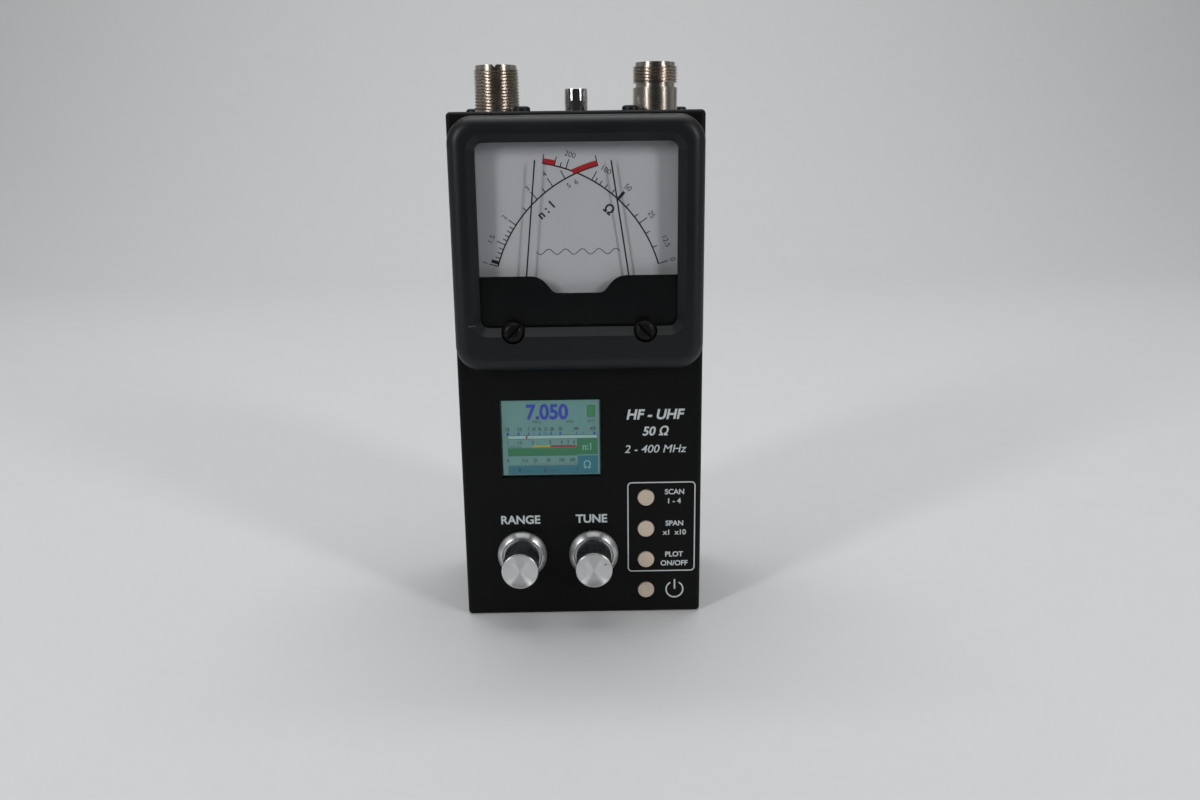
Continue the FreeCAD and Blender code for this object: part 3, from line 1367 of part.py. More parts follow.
def check_and_write():
    """Stop on anything that failed, then write each sub-part to its own file."""
    doc.recompute()
    for obj in doc.Objects:
        if "Invalid" in obj.State or "Error" in obj.State:
            raise RuntimeError(f"{obj.Label} ({obj.TypeId}) is {obj.State}")
        if obj.TypeId in ("PartDesign::Pocket", "PartDesign::Groove"):
            before = obj.BaseFeature.Shape.Volume
            if not obj.Shape.Volume < before:
                raise RuntimeError(f"{obj.Label} cuts nothing")
    for node in nodes:
        shape = node.Shape
        if shape.isNull() or not shape.isValid() or not shape.Solids:
            raise RuntimeError(f"{node.Label} has no valid solid")
        shape.exportStep(f"parts/{node.Label}.step")
    print(len(nodes), "sub-parts written")


make_all()
check_and_write()
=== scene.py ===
import bmesh
import bpy
import math
from mathutils import Matrix, Vector


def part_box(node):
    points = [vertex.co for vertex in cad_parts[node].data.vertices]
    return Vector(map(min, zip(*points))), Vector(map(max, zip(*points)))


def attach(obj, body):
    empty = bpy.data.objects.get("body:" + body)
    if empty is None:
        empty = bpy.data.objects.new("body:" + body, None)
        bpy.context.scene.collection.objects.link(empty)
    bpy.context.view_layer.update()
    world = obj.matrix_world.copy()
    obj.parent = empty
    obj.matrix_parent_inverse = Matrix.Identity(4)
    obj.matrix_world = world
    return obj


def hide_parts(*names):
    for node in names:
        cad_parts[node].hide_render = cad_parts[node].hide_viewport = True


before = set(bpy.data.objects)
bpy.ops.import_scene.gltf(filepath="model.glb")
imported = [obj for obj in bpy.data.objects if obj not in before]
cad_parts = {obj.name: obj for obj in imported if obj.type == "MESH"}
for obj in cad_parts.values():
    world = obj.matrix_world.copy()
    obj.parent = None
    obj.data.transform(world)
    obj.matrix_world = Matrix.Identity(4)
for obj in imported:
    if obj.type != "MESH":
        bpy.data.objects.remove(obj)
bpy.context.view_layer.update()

bl_info = {
    "name": "Antenna analyzer",
    "version": (1, 0, 0),
    "blender": (4, 5, 0),
    "location": "3D View > Sidebar > Analyzer",
    "description": "Dresses the antenna analyzer's solids with its finishes, prints, dial, display and knobs",
    "category": "Object",
}

MM = 0.001
ROOT = "case"


# Places on the front, in millimetres: u to the right, v up, w out of the panel

def front(u, v, w):
    return Vector((u, -w, v)) * MM


def face_of(node):
    """How far out of the panel a node reaches, in millimetres."""
    return -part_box(node)[0][1] / MM


def middle_of(node):
    """The (u, v) of the middle of a node."""
    low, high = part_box(node)
    return (low[0] + high[0]) / 2 / MM, (low[2] + high[2]) / 2 / MM


PANEL = face_of("front_case")
DIAL = face_of("meter_dial")
SCREEN = face_of("lcd_panel")
PIVOT_SIDE = 18.65
PIVOT_HEIGHT = 115.7
SCALE_RADIUS = 48.0


# Sizes and colours that a user may change

class AnalyzerSizes(bpy.types.PropertyGroup):
    ink_height: bpy.props.FloatProperty(
        name="Ink height", description="How far printed ink stands off its surface, in millimetres",
        default=0.02, min=0.005, max=0.1)
    scale_line: bpy.props.FloatProperty(
        name="Scale line", description="Width of the meter's arcs, in millimetres",
        default=0.5, min=0.1, max=1.0)
    tick_line: bpy.props.FloatProperty(
        name="Tick line", description="Width of the meter's ticks, in millimetres",
        default=0.34, min=0.1, max=1.0)
    dial_digits: bpy.props.FloatProperty(
        name="Dial digits", description="Height of the meter's numbers, in millimetres",
        default=1.85, min=0.8, max=3.0)
    label_line: bpy.props.FloatProperty(
        name="Label frame", description="Width of the line round the button labels, in millimetres",
        default=0.42, min=0.1, max=1.0)
    knurl_rows: bpy.props.IntProperty(
        name="Knurl rows", description="Diamonds of the knurl from the skirt to the knob's face",
        default=17, min=4, max=30)
    knurl_columns: bpy.props.IntProperty(
        name="Knurl columns", description="Diamonds of the knurl round the knob", default=54, min=20, max=90)


def linear(hex_colour):
    """sRGB hex text as linear red, green, blue and a full alpha."""
    parts = [int(hex_colour[i:i + 2], 16) / 255 for i in (0, 2, 4)]
    return (*[c / 12.92 if c <= 0.04045 else ((c + 0.055) / 1.055) ** 2.4 for c in parts], 1.0)


def swatch(name, description, hex_colour):
    """A colour that a user may change."""
    return bpy.props.FloatVectorProperty(name=name, description=description, default=linear(hex_colour),
                                         size=4, subtype="COLOR", min=0.0, max=1.0)


class AnalyzerColours(bpy.types.PropertyGroup):
    case_colour: swatch("Case", "Powder coat of the case", "080909")
    bezel_colour: swatch("Bezel", "Moulded bezel of the meter", "101417")
    dial_colour: swatch("Dial", "Enamel of the dial", "c4c4c6")
    ink_colour: swatch("Panel print", "Ink of the front panel", "c3cacd")
    button_colour: swatch("Buttons", "Moulded buttons", "cdbba9")
    red_colour: swatch("Red zones", "Red zones of the dial", "b3161f")


def sizes():
    return bpy.context.scene.analyzer_sizes


def colours():
    return bpy.context.scene.analyzer_colours


# Materials

def add(tree, kind, inputs=None, **settings):
    """Add one node with its settings; each input is a value or the socket that feeds it."""
    node = tree.nodes.new(kind)
    for name, value in settings.items():
        setattr(node, name, value)
    for key, value in (inputs or {}).items():
        if isinstance(value, bpy.types.NodeSocket):
            tree.links.new(value, node.inputs[key])
        else:
            node.inputs[key].default_value = value
    return node


def shaded(colour, factor):
    return (*[min(1.0, c * factor) for c in colour[:3]], 1.0)


# How thick the broad cloud of every finish is, and how coarse its dust, in millimetres
BROAD_GRAIN = 30
DUST_GRAIN = 0.9
DUST_COLOUR = (0.35, 0.35, 0.36, 1.0)


def fresh(name):
    """A new material with its node tree."""
    material = bpy.data.materials.new(name)
    material.use_nodes = True
    return material, material.node_tree


def surface(name, colour, roughness, metallic=0.0, grain=0.4, depth=0.006, shade=0.12, spread=0.1,
            stretch=(1, 1, 1), specks=0.0, **sockets):
    """A finish whose colour, shine and height vary with a grain of real size in millimetres."""
    if name in bpy.data.materials:
        return bpy.data.materials[name]
    material, tree = fresh(name)
    shader = tree.nodes["Principled BSDF"]
    tone = linear(colour) if isinstance(colour, str) else tuple(colour)
    coords = add(tree, "ShaderNodeTexCoord").outputs["Object"]
    place = add(tree, "ShaderNodeMapping", {"Vector": coords, "Scale": stretch}).outputs["Vector"]
    fine = add(tree, "ShaderNodeTexNoise", {"Vector": place, "Scale": 1 / (grain * MM), "Detail": 4.0})
    broad = add(tree, "ShaderNodeTexNoise", {"Vector": coords, "Scale": 1 / (BROAD_GRAIN * MM), "Detail": 3.0})
    both = add(tree, "ShaderNodeMath", {0: fine.outputs["Fac"], 1: broad.outputs["Fac"]}, operation="ADD")
    share = add(tree, "ShaderNodeMapRange", {"Value": both.outputs[0], "From Min": 0.7, "From Max": 1.3})
    darker, lighter = shaded(tone, 1 - shade), shaded(tone, 1 + shade)
    blend = add(tree, "ShaderNodeMix", {0: share.outputs[0], 6: darker, 7: lighter}, data_type="RGBA")
    result = blend.outputs[2]
    if specks:
        dust = add(tree, "ShaderNodeTexNoise", {"Vector": coords, "Scale": 1 / (DUST_GRAIN * MM), "Detail": 0.0})
        spot = add(tree, "ShaderNodeMapRange", {"Value": dust.outputs["Fac"], "From Min": 0.77, "From Max": 0.8,
                                                "To Max": specks})
        dusty = add(tree, "ShaderNodeMix", {0: spot.outputs[0], 6: result, 7: DUST_COLOUR}, data_type="RGBA")
        result = dusty.outputs[2]
    tree.links.new(result, shader.inputs["Base Color"])
    smoothest, roughest = max(0.02, roughness - spread), min(1.0, roughness + spread)
    rough = add(tree, "ShaderNodeMapRange", {"Value": share.outputs[0], "To Min": smoothest, "To Max": roughest})
    tree.links.new(rough.outputs[0], shader.inputs["Roughness"])
    bump = add(tree, "ShaderNodeBump", {"Strength": 1.0, "Distance": depth * MM, "Height": fine.outputs["Fac"]})
    tree.links.new(bump.outputs["Normal"], shader.inputs["Normal"])
    shader.inputs["Metallic"].default_value = metallic
    for socket, value in sockets.items():
        shader.inputs[socket.replace("_", " ").title().replace("Ior", "IOR")].default_value = value
    return material


def powder_coat():
    """Fine black powder coat on folded steel: a dull, faintly pebbled skin with a few grains of dust."""
    return surface("powder_coat_on_steel", colours().case_colour, 0.5, grain=0.5, depth=0.008, shade=0.16,
                   spread=0.07, specks=0.02, specular_ior_level=0.14)


def moulded_abs():
    """Moulded ABS of the bezel: slate black and satin, which shows a soft sheen along its rounds."""
    return surface("moulded_abs_satin", colours().bezel_colour, 0.42, grain=0.35, depth=0.003, shade=0.1,
                   spread=0.06, specks=0.02, specular_ior_level=0.33)


def gloss_styrene():
    """Polished black styrene: nearly mirror smooth, so it stays the darkest thing behind the pane."""
    return surface("gloss_black_styrene", "08090a", 0.24, grain=1.5, depth=0.001, shade=0.1, spread=0.04)


def turned_nylon():
    """Black nylon of the two adjusters: duller than the styrene round them."""
    return surface("turned_black_nylon", "060607", 0.42, grain=0.4, depth=0.002, shade=0.1, specular_ior_level=0.2)


def dial_enamel():
    """Stoved enamel on the dial plate: even, matte and off-white."""
    return surface("stoved_enamel_off_white", colours().dial_colour, 0.62, grain=0.25, depth=0.001, shade=0.03,
                   spread=0.05)


def printing_ink(name, colour, roughness=0.6):
    """Screen printed ink: a flat, slightly uneven film."""
    return surface(name, colour, roughness, grain=0.3, depth=0.002, shade=0.06, spread=0.05)


def needle_lacquer():
    """Black lacquer on the aluminium needles."""
    return surface("black_lacquer_on_aluminium", "101012", 0.5, grain=0.3, depth=0.001, shade=0.1)


def cream_acrylic():
    """Polished cream acrylic of the buttons: a soft gloss over a faintly speckled body."""
    return surface("moulded_cream_acrylic", colours().button_colour, 0.3, grain=0.22, depth=0.002, shade=0.09,
                   spread=0.08, subsurface_weight=0.05)


def nickel_plate():
    """Nickel plate on turned brass: warm grey with fine turning marks across the axis."""
    return surface("nickel_plate_on_turned_brass", "b9b0a6", 0.24, 1.0, grain=0.7, depth=0.0008, shade=0.12,
                   spread=0.08, stretch=(1, 1, 9))


def bright_chrome():
    """Bright chrome on the smallest socket: cool and mirror-like."""
    return surface("bright_chrome_plate", "d5d8dd", 0.08, 1.0, grain=1.2, depth=0.001, shade=0.05, spread=0.03)


def gilt_brass():
    """Gilt contact metal: yellow, with a soft satin."""
    return surface("gilt_contact_brass", "cfae6c", 0.28, 1.0, grain=0.4, depth=0.002)


def plain_brass():
    """Bright turned brass of the movement's small parts."""
    return surface("turned_brass", "c8a35a", 0.32, 1.0, grain=0.3, depth=0.002)


def bright_steel():
    """Zinc-bright steel: cool grey with fine drawing lines."""
    return surface("bright_zinc_steel", "a9abae", 0.34, 1.0, grain=0.4, depth=0.003, stretch=(6, 1, 1))


def black_oxide():
    """Black oxide on steel screws: dark and waxy."""
    return surface("black_oxide_on_steel", "1b1c1e", 0.38, 0.6, grain=0.3, depth=0.004, shade=0.2)


def dark_abs():
    """Plain black ABS of the parts inside."""
    return surface("moulded_black_abs", "141415", 0.5, grain=0.5, depth=0.006)


def white_ptfe():
    """PTFE insulators: waxy and off-white."""
    return surface("turned_ptfe", "dcdad2", 0.45, grain=0.6, depth=0.003, shade=0.04, subsurface_weight=0.08)


def brown_phenolic():
    """Phenolic insulator of the threaded socket: dark brown with a resin mottle."""
    return surface("moulded_phenolic", "2b1c14", 0.4, grain=0.8, depth=0.004, shade=0.3)


def solder_mask():
    """Green solder mask over glass cloth, whose weave shows as a fine square grain."""
    return surface("green_solder_mask", "0f5a34", 0.35, grain=0.6, depth=0.008, shade=0.2)


def tin_plate():
    """Tin plate of the shield can: bright grey with soft flow marks."""
    return surface("tin_plate", "b8b9ba", 0.3, 1.0, grain=3.0, depth=0.002, shade=0.15)


def zinc_casting():
    """Sand-grey zinc casting of the movement frames."""
    return surface("cast_zinc", "8d8f92", 0.5, 1.0, grain=0.25, depth=0.01)


def soft_iron():
    """Machined soft iron of the yokes, dull and dark."""
    return surface("machined_soft_iron", "5d5c5b", 0.45, 1.0, grain=0.3, depth=0.006, stretch=(1, 6, 1))


def cell_sleeve():
    """Printed shrink sleeve of the cells."""
    return surface("shrink_sleeve", "23343f", 0.3, grain=2.0, depth=0.002, shade=0.2)


def enamelled_copper():
    """Enamelled copper wire of the coils: each turn shows as a fine line."""
    return surface("enamelled_copper_wire", "9a4a22", 0.3, 0.8, grain=0.2, depth=0.01, stretch=(8, 1, 8))


def clear_pane(name, tint):
    """Clear acrylic sheet: mirrors a little at a flat look, and lets lamps and sight through."""
    material, tree = fresh(name)
    tree.nodes.remove(tree.nodes["Principled BSDF"])
    coords = add(tree, "ShaderNodeTexCoord").outputs["Object"]
    haze = add(tree, "ShaderNodeTexNoise", {"Vector": coords, "Scale": 1 / (12 * MM), "Detail": 5.0})
    rough = add(tree, "ShaderNodeMapRange", {"Value": haze.outputs["Fac"], "To Min": 0.02, "To Max": 0.09})
    through = add(tree, "ShaderNodeBsdfTransparent", {"Color": tint})
    mirror = add(tree, "ShaderNodeBsdfGlossy", {"Color": (0.9, 0.9, 0.9, 1.0), "Roughness": rough.outputs[0]})
    edge = add(tree, "ShaderNodeFresnel", {"IOR": 1.49})
    inside = add(tree, "ShaderNodeNewGeometry").outputs["Backfacing"]
    near_side = add(tree, "ShaderNodeMath", {0: 1.0, 1: inside}, operation="SUBTRACT")
    share = add(tree, "ShaderNodeMath", {0: edge.outputs[0], 1: near_side.outputs[0]}, operation="MULTIPLY")
    mixed = add(tree, "ShaderNodeMixShader", {0: share.outputs[0], 1: through.outputs[0], 2: mirror.outputs[0]})
    tree.links.new(mixed.outputs[0], tree.nodes["Material Output"].inputs["Surface"])
    return material


# Distance between the display's dots, and between the tool marks of a turned face, in millimetres
DOT_PITCH = 0.22
TOOL_PITCH = 0.12


def lit_ink(name, colour, strength=0.6):
    """A colour of the lit display, with a faint weave as fine as its dots."""
    material, tree = fresh(name)
    shader = tree.nodes["Principled BSDF"]
    tone = linear(colour)
    coords = add(tree, "ShaderNodeTexCoord").outputs["Object"]
    dots = add(tree, "ShaderNodeTexNoise", {"Vector": coords, "Scale": 1 / (DOT_PITCH * MM), "Detail": 1.0})
    darker, lighter = shaded(tone, 0.85), shaded(tone, 1.15)
    blend = add(tree, "ShaderNodeMix", {0: dots.outputs["Fac"], 6: darker, 7: lighter}, data_type="RGBA")
    shader.inputs["Base Color"].default_value = shaded(tone, 0.25)
    tree.links.new(blend.outputs[2], shader.inputs["Emission Color"])
    shader.inputs["Emission Strength"].default_value = strength
    shader.inputs["Roughness"].default_value = 0.4
    return material


def turned_aluminium(name, rough, spin):
    """Turned aluminium: fine rings from the tool, whose shine fans out as wedges from the middle."""
    material, tree = fresh(name)
    shader = tree.nodes["Principled BSDF"]
    coords = add(tree, "ShaderNodeTexCoord").outputs["Object"]
    flat = add(tree, "ShaderNodeVectorMath", {0: coords, 1: (1.0, 1.0, 0.0)}, operation="MULTIPLY")
    reach = add(tree, "ShaderNodeVectorMath", {0: flat.outputs["Vector"]}, operation="LENGTH")
    level = add(tree, "ShaderNodeSeparateXYZ", {"Vector": coords})
    along = add(tree, "ShaderNodeMath", {0: reach.outputs["Value"], 1: level.outputs["Z"]}, operation="ADD")
    rings = add(tree, "ShaderNodeTexNoise", {"W": along.outputs[0], "Scale": 1 / (TOOL_PITCH * MM), "Detail": 3.0},
                noise_dimensions="1D")
    tone = linear("dcdcdd")
    darker, lighter = shaded(tone, 0.86), shaded(tone, 1.05)
    blend = add(tree, "ShaderNodeMix", {0: rings.outputs["Fac"], 6: darker, 7: lighter}, data_type="RGBA")
    tree.links.new(blend.outputs[2], shader.inputs["Base Color"])
    shine = add(tree, "ShaderNodeMapRange", {"Value": rings.outputs["Fac"], "To Min": rough - 0.06,
                                             "To Max": rough + 0.1})
    tree.links.new(shine.outputs[0], shader.inputs["Roughness"])
    bump = add(tree, "ShaderNodeBump", {"Strength": 0.5, "Distance": 0.0015 * MM, "Height": rings.outputs["Fac"]})
    tree.links.new(bump.outputs["Normal"], shader.inputs["Normal"])
    shader.inputs["Metallic"].default_value = 1.0
    way = add(tree, "ShaderNodeTangent", direction_type="RADIAL", axis="Z")
    tree.links.new(way.outputs["Tangent"], shader.inputs["Tangent"])
    shader.inputs["Anisotropic"].default_value = spin
    shader.inputs["Anisotropic Rotation"].default_value = 0.25
    return material


# Meshes

def new_piece(name, mesh, material, body=ROOT, smooth=False, place=None):
    """Keep a mesh, already at its place or moved to it, as a piece that moves with a body of the frame."""
    piece = bpy.data.objects.new(name, mesh)
    if place is not None:
        piece.matrix_world = place
    bpy.context.scene.collection.objects.link(piece)
    for entry in material if isinstance(material, (list, tuple)) else (material,):
        mesh.materials.append(entry)
    for polygon in mesh.polygons:
        polygon.use_smooth = smooth
    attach(piece, body)
    return piece


def dress(material, *nodes):
    """Give whole CAD nodes one finish."""
    for name in nodes:
        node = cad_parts[name]
        node.data.materials.clear()
        node.data.materials.append(material)


class Print:
    """Flat ink shapes that lie on one plane of the front, gathered into one mesh."""

    def __init__(self, level, height=None):
        self.level = level
        self.height = sizes().ink_height if height is None else height
        self.bm = bmesh.new()

    def run(self, left, right):
        """A band between two lines of points."""
        rows = []
        for points in (left, right):
            rows.append([self.bm.verts.new(front(u, v, self.level + self.height)) for u, v in points])
        for i in range(len(left) - 1):
            self.bm.faces.new((rows[0][i], rows[0][i + 1], rows[1][i + 1], rows[1][i]))
        return self

    def box(self, left, right, low, high):
        return self.run([(left, low), (right, low)], [(left, high), (right, high)])

    def line(self, start, end, width):
        """A straight stroke."""
        du, dv = end[0] - start[0], end[1] - start[1]
        reach = math.hypot(du, dv)
        nu, nv = -dv / reach * width / 2, du / reach * width / 2
        return self.run([(start[0] + nu, start[1] + nv), (end[0] + nu, end[1] + nv)],
                        [(start[0] - nu, start[1] - nv), (end[0] - nu, end[1] - nv)])

    def path(self, points, width):
        """One stroke through many points, with mitred bends."""
        left, right = [], []
        count = len(points)
        for i, (u, v) in enumerate(points):
            before, after = points[max(i - 1, 0)], points[min(i + 1, count - 1)]
            du, dv = after[0] - before[0], after[1] - before[1]
            reach = math.hypot(du, dv) or 1.0
            nu, nv = -dv / reach * width / 2, du / reach * width / 2
            left.append((u + nu, v + nv))
            right.append((u - nu, v - nv))
        return self.run(left, right)

    def ring(self, u, v, inner, outer, start, end, steps=64):
        """Part of a ring; angles in degrees clockwise from straight up."""
        turns = [math.radians(start + (end - start) * i / steps) for i in range(steps + 1)]
        return self.run([(u + inner * math.sin(t), v + inner * math.cos(t)) for t in turns],
                        [(u + outer * math.sin(t), v + outer * math.cos(t)) for t in turns])

    def words(self, text, u, v, height, spin=0.0, bold=0.0, lean=0.0, squeeze=1.0):
        """Letters of one height, centred on a point and turned clockwise by spin degrees."""
        curve = bpy.data.curves.new("letters", "FONT")
        curve.body = text
        curve.size = 1.0
        curve.offset = bold
        curve.shear = lean
        carrier = bpy.data.objects.new("letters", curve)
        bpy.context.scene.collection.objects.link(carrier)
        bpy.context.view_layer.update()
        mesh = bpy.data.meshes.new_from_object(carrier.evaluated_get(bpy.context.evaluated_depsgraph_get()))
        bpy.data.objects.remove(carrier)
        bpy.data.curves.remove(curve)
        grow = height / CAP_HEIGHT
        reach = [vertex.co.x for vertex in mesh.vertices]
        centre = (min(reach) + max(reach)) / 2
        turn = math.radians(-spin)
        made = []
        for vertex in mesh.vertices:
            x = (vertex.co.x - centre) * grow * squeeze
            y = vertex.co.y * grow - height / 2
            made.append(self.bm.verts.new(front(u + x * math.cos(turn) - y * math.sin(turn),
                                                v + x * math.sin(turn) + y * math.cos(turn),
                                                self.level + self.height)))
        for polygon in mesh.polygons:
            self.bm.faces.new([made[i] for i in polygon.vertices])
        bpy.data.meshes.remove(mesh)
        return self

    def finish(self, name, material, body=ROOT, slot=None):
        """Turn every face outward, give the film its edges and keep it."""
        for face in self.bm.faces:
            face.normal_update()
            if face.normal.y > 0:
                face.normal_flip()
        edges = [edge for edge in self.bm.edges if len(edge.link_faces) == 1]
        skirt = bmesh.ops.extrude_edge_only(self.bm, edges=edges)
        rim = [item for item in skirt["geom"] if isinstance(item, bmesh.types.BMVert)]
        bmesh.ops.translate(self.bm, verts=rim, vec=front(0, 0, -self.height))
        mesh = bpy.data.meshes.new(name)
        self.bm.to_mesh(mesh)
        self.bm.free()
        return new_piece(name, mesh, material, body)


# Height of a capital in the built-in font at size 1
CAP_HEIGHT = 0.729


# Dial: angles in degrees from straight up, each scale on the pivot of its own needle

RATIO_TICKS = [(70.5, 49.6), (68.5, 49.6), (66.6, 49.6), (64.6, 51.1), (62.8, 49.6), (61.1, 49.6), (59.2, 49.6),
               (57.4, 49.6), (55.4, 51.1), (48.3, 49.6), (42.0, 51.3), (37.7, 49.6), (33.9, 51.3), (28.1, 51.1)]
RATIO_NUMBERS = [("1", 73.7, 52.6), ("1.5", 64.6, 53.2), ("2", 55.4, 52.8), ("3", 42.0, 53.0), ("4", 33.9, 53.0),
                 ("5", 28.1, 45.6), ("6", 24.7, 45.6)]
OHM_TICKS = [(8.7, 51.0), (13.5, 51.0), (15.8, 49.6), (18.2, 51.3), (29.5, 51.3), (31.0, 49.6), (33.1, 49.6),
             (35.6, 49.6), (39.0, 49.6), (46.9, 49.6), (52.1, 49.6), (55.3, 51.3), (60.2, 49.6), (66.5, 49.6),
             (73.5, 51.3)]
OHM_NUMBERS = [("200", 18.2, 53.0), ("100", 32.4, 53.4), ("50", 42.4, 53.2), ("25", 55.3, 53.2),
               ("12.5", 66.5, 53.2), ("0", 73.5, 53.2)]
TITLE_RADIUS = 43.6
TITLE_ANGLE = 42.4
TITLE_HEIGHT = 2.9
OHM_SIGN_HEIGHT = 3.2
TITLE_BOLD = 0.03
RATIO_ARC = (73.9, 13.9)
OHM_ARC = (8.6, 73.7)
RED_INNER = 48.15
RED_OUTER = 49.75
RATIO_RED = (24.3, 14.1)
OHM_RED = (8.8, 13.4)
# The two ends of the ratio arc, its zero block and the ohm arc's middle block: side, angle, reach, times as wide
BLOCKS = [(1, 73.8, 51.1, 1.0), (1, 72.4, 50.6, 3.4), (1, 14.0, 51.4, 1.0), (-1, 42.4, 51.2, 3.0)]
WAVE_LEVEL = 133.8
WAVE_HEIGHT = 0.9
WAVE_LINE = 0.26


def on_scale(side, angle, radius):
    """The (u, v) at an angle and radius of the left (-1) or right (1) needle's scale."""
    turn = math.radians(angle)
    return side * (PIVOT_SIDE - radius * math.sin(turn)), PIVOT_HEIGHT + radius * math.cos(turn)


class ANALYZER_OT_dial(bpy.types.Operator):
    """Enamel and print of the cross needle dial"""
    bl_idname = "analyzer.dial"
    bl_label = "Dial"

    def execute(self, context):
        dress(dial_enamel(), "meter_dial")
        line, tick = sizes().scale_line, sizes().tick_line
        ink = Print(DIAL)
        for side, (start, end) in ((1, RATIO_ARC), (-1, OHM_ARC)):
            ink.ring(side * PIVOT_SIDE, PIVOT_HEIGHT, SCALE_RADIUS - line / 2, SCALE_RADIUS + line / 2,
                     -side * start, -side * end)
        strokes = [(1, angle, reach, tick) for angle, reach in RATIO_TICKS]
        strokes += [(-1, angle, reach, tick) for angle, reach in OHM_TICKS]
        strokes += [(side, angle, reach, wide * tick) for side, angle, reach, wide in BLOCKS]
        for side, angle, reach, width in strokes:
            ink.line(on_scale(side, angle, SCALE_RADIUS), on_scale(side, angle, reach), width)
        digits = sizes().dial_digits
        for side, numbers in ((1, RATIO_NUMBERS), (-1, OHM_NUMBERS)):
            for text, angle, radius in numbers:
                ink.words(text, *on_scale(side, angle, radius), digits, -side * angle)
        ink.words("n : 1", *on_scale(1, TITLE_ANGLE, TITLE_RADIUS), TITLE_HEIGHT, -TITLE_ANGLE, TITLE_BOLD)
        ink.words("Ω", *on_scale(-1, TITLE_ANGLE, TITLE_RADIUS), OHM_SIGN_HEIGHT, TITLE_ANGLE, TITLE_BOLD)
        wave = [(u / 4, WAVE_LEVEL + WAVE_HEIGHT * math.sin(u / 4 * 1.1)) for u in range(-57, 58)]
        ink.path(wave, WAVE_LINE)
        ink.finish("dial_scales", printing_ink("black_dial_ink", "17171a"), slot="needle_paint")
        zones = Print(DIAL, 2 * sizes().ink_height)
        for side, (start, end) in ((1, RATIO_RED), (-1, OHM_RED)):
            zones.ring(side * PIVOT_SIDE, PIVOT_HEIGHT, RED_INNER, RED_OUTER, -side * start, -side * end)
        zones.finish("dial_red_zones", printing_ink("red_dial_ink", colours().red_colour), slot="dial_paint")
        return {"FINISHED"}


class ANALYZER_OT_meter(bpy.types.Operator):
    """Finishes of the meter round the dial: bezel, pane, shield, needles and adjusters"""
    bl_idname = "analyzer.meter"
    bl_label = "Meter"

    def execute(self, context):
        dress(moulded_abs(), "meter_bezel")
        dress(clear_pane("clear_acrylic_sheet", (0.97, 0.975, 0.98, 1.0)), "meter_window")
        dress(gloss_styrene(), "meter_mask")
        dress(turned_nylon(), "ohms_zero_screw", "swr_zero_screw")
        dress(needle_lacquer(), "ohms_needle", "swr_needle")
        dress(dark_abs(), "meter_case")
        scratch = Print(face_of("meter_bezel"), 0.006)
        scratch.path([(-37.6, 109.7), (-36.2, 110.0), (-34.9, 110.0)], 0.16)
        scratch.finish("bezel_scratch", printing_ink("scuffed_abs", "5c6266", 0.7), slot="bezel_plastic")
        return {"FINISHED"}


# Display: x and y are shares of the lit area, from its upper left corner

DISPLAY_LEFT = -28.3
DISPLAY_TOP = 81.45
DISPLAY_WIDTH = 34.8
DISPLAY_HEIGHT = 28.0
BANDS = [("1.8", 0.054), ("3.5", 0.18), ("7", 0.272), ("10", 0.327), ("14", 0.384), ("21", 0.448), ("28", 0.51),
         ("50", 0.599), ("144", 0.76), ("430", 0.932)]
BAND_MARKS = [(0.057, 0.022), (0.168, 0.022), (0.272, 0.012), (0.327, 0.004), (0.384, 0.012), (0.44, 0.006),
              (0.455, 0.006), (0.503, 0.016), (0.597, 0.018), (0.768, 0.008), (0.837, 0.006), (0.948, 0.022)]
RATIO_ROW = [("1", 0.055), ("1.5", 0.18), ("2", 0.312), ("3", 0.492), ("4", 0.609), ("5", 0.678), ("6", 0.736)]
OHM_ROW = [("0", 0.052), ("12.5", 0.229), ("25", 0.333), ("50", 0.473), ("100", 0.607), ("200", 0.717)]


def on_display(x, y):
    return DISPLAY_LEFT + x * DISPLAY_WIDTH, DISPLAY_TOP - y * DISPLAY_HEIGHT


def display_box(ink, left, right, top, low):
    u0, v1 = on_display(left, top)
    u1, v0 = on_display(right, low)
    ink.box(u0, u1, v0, v1)


def display_frame(ink, left, right, top, low, line=0.14):
    """A thin outline on the display."""
    u0, v1 = on_display(left, top)
    u1, v0 = on_display(right, low)
    ink.box(u0, u1, v1 - line, v1)
    ink.box(u0, u1, v0, v0 + line)
    ink.box(u0, u0 + line, v0, v1)
    ink.box(u1 - line, u1, v0, v1)


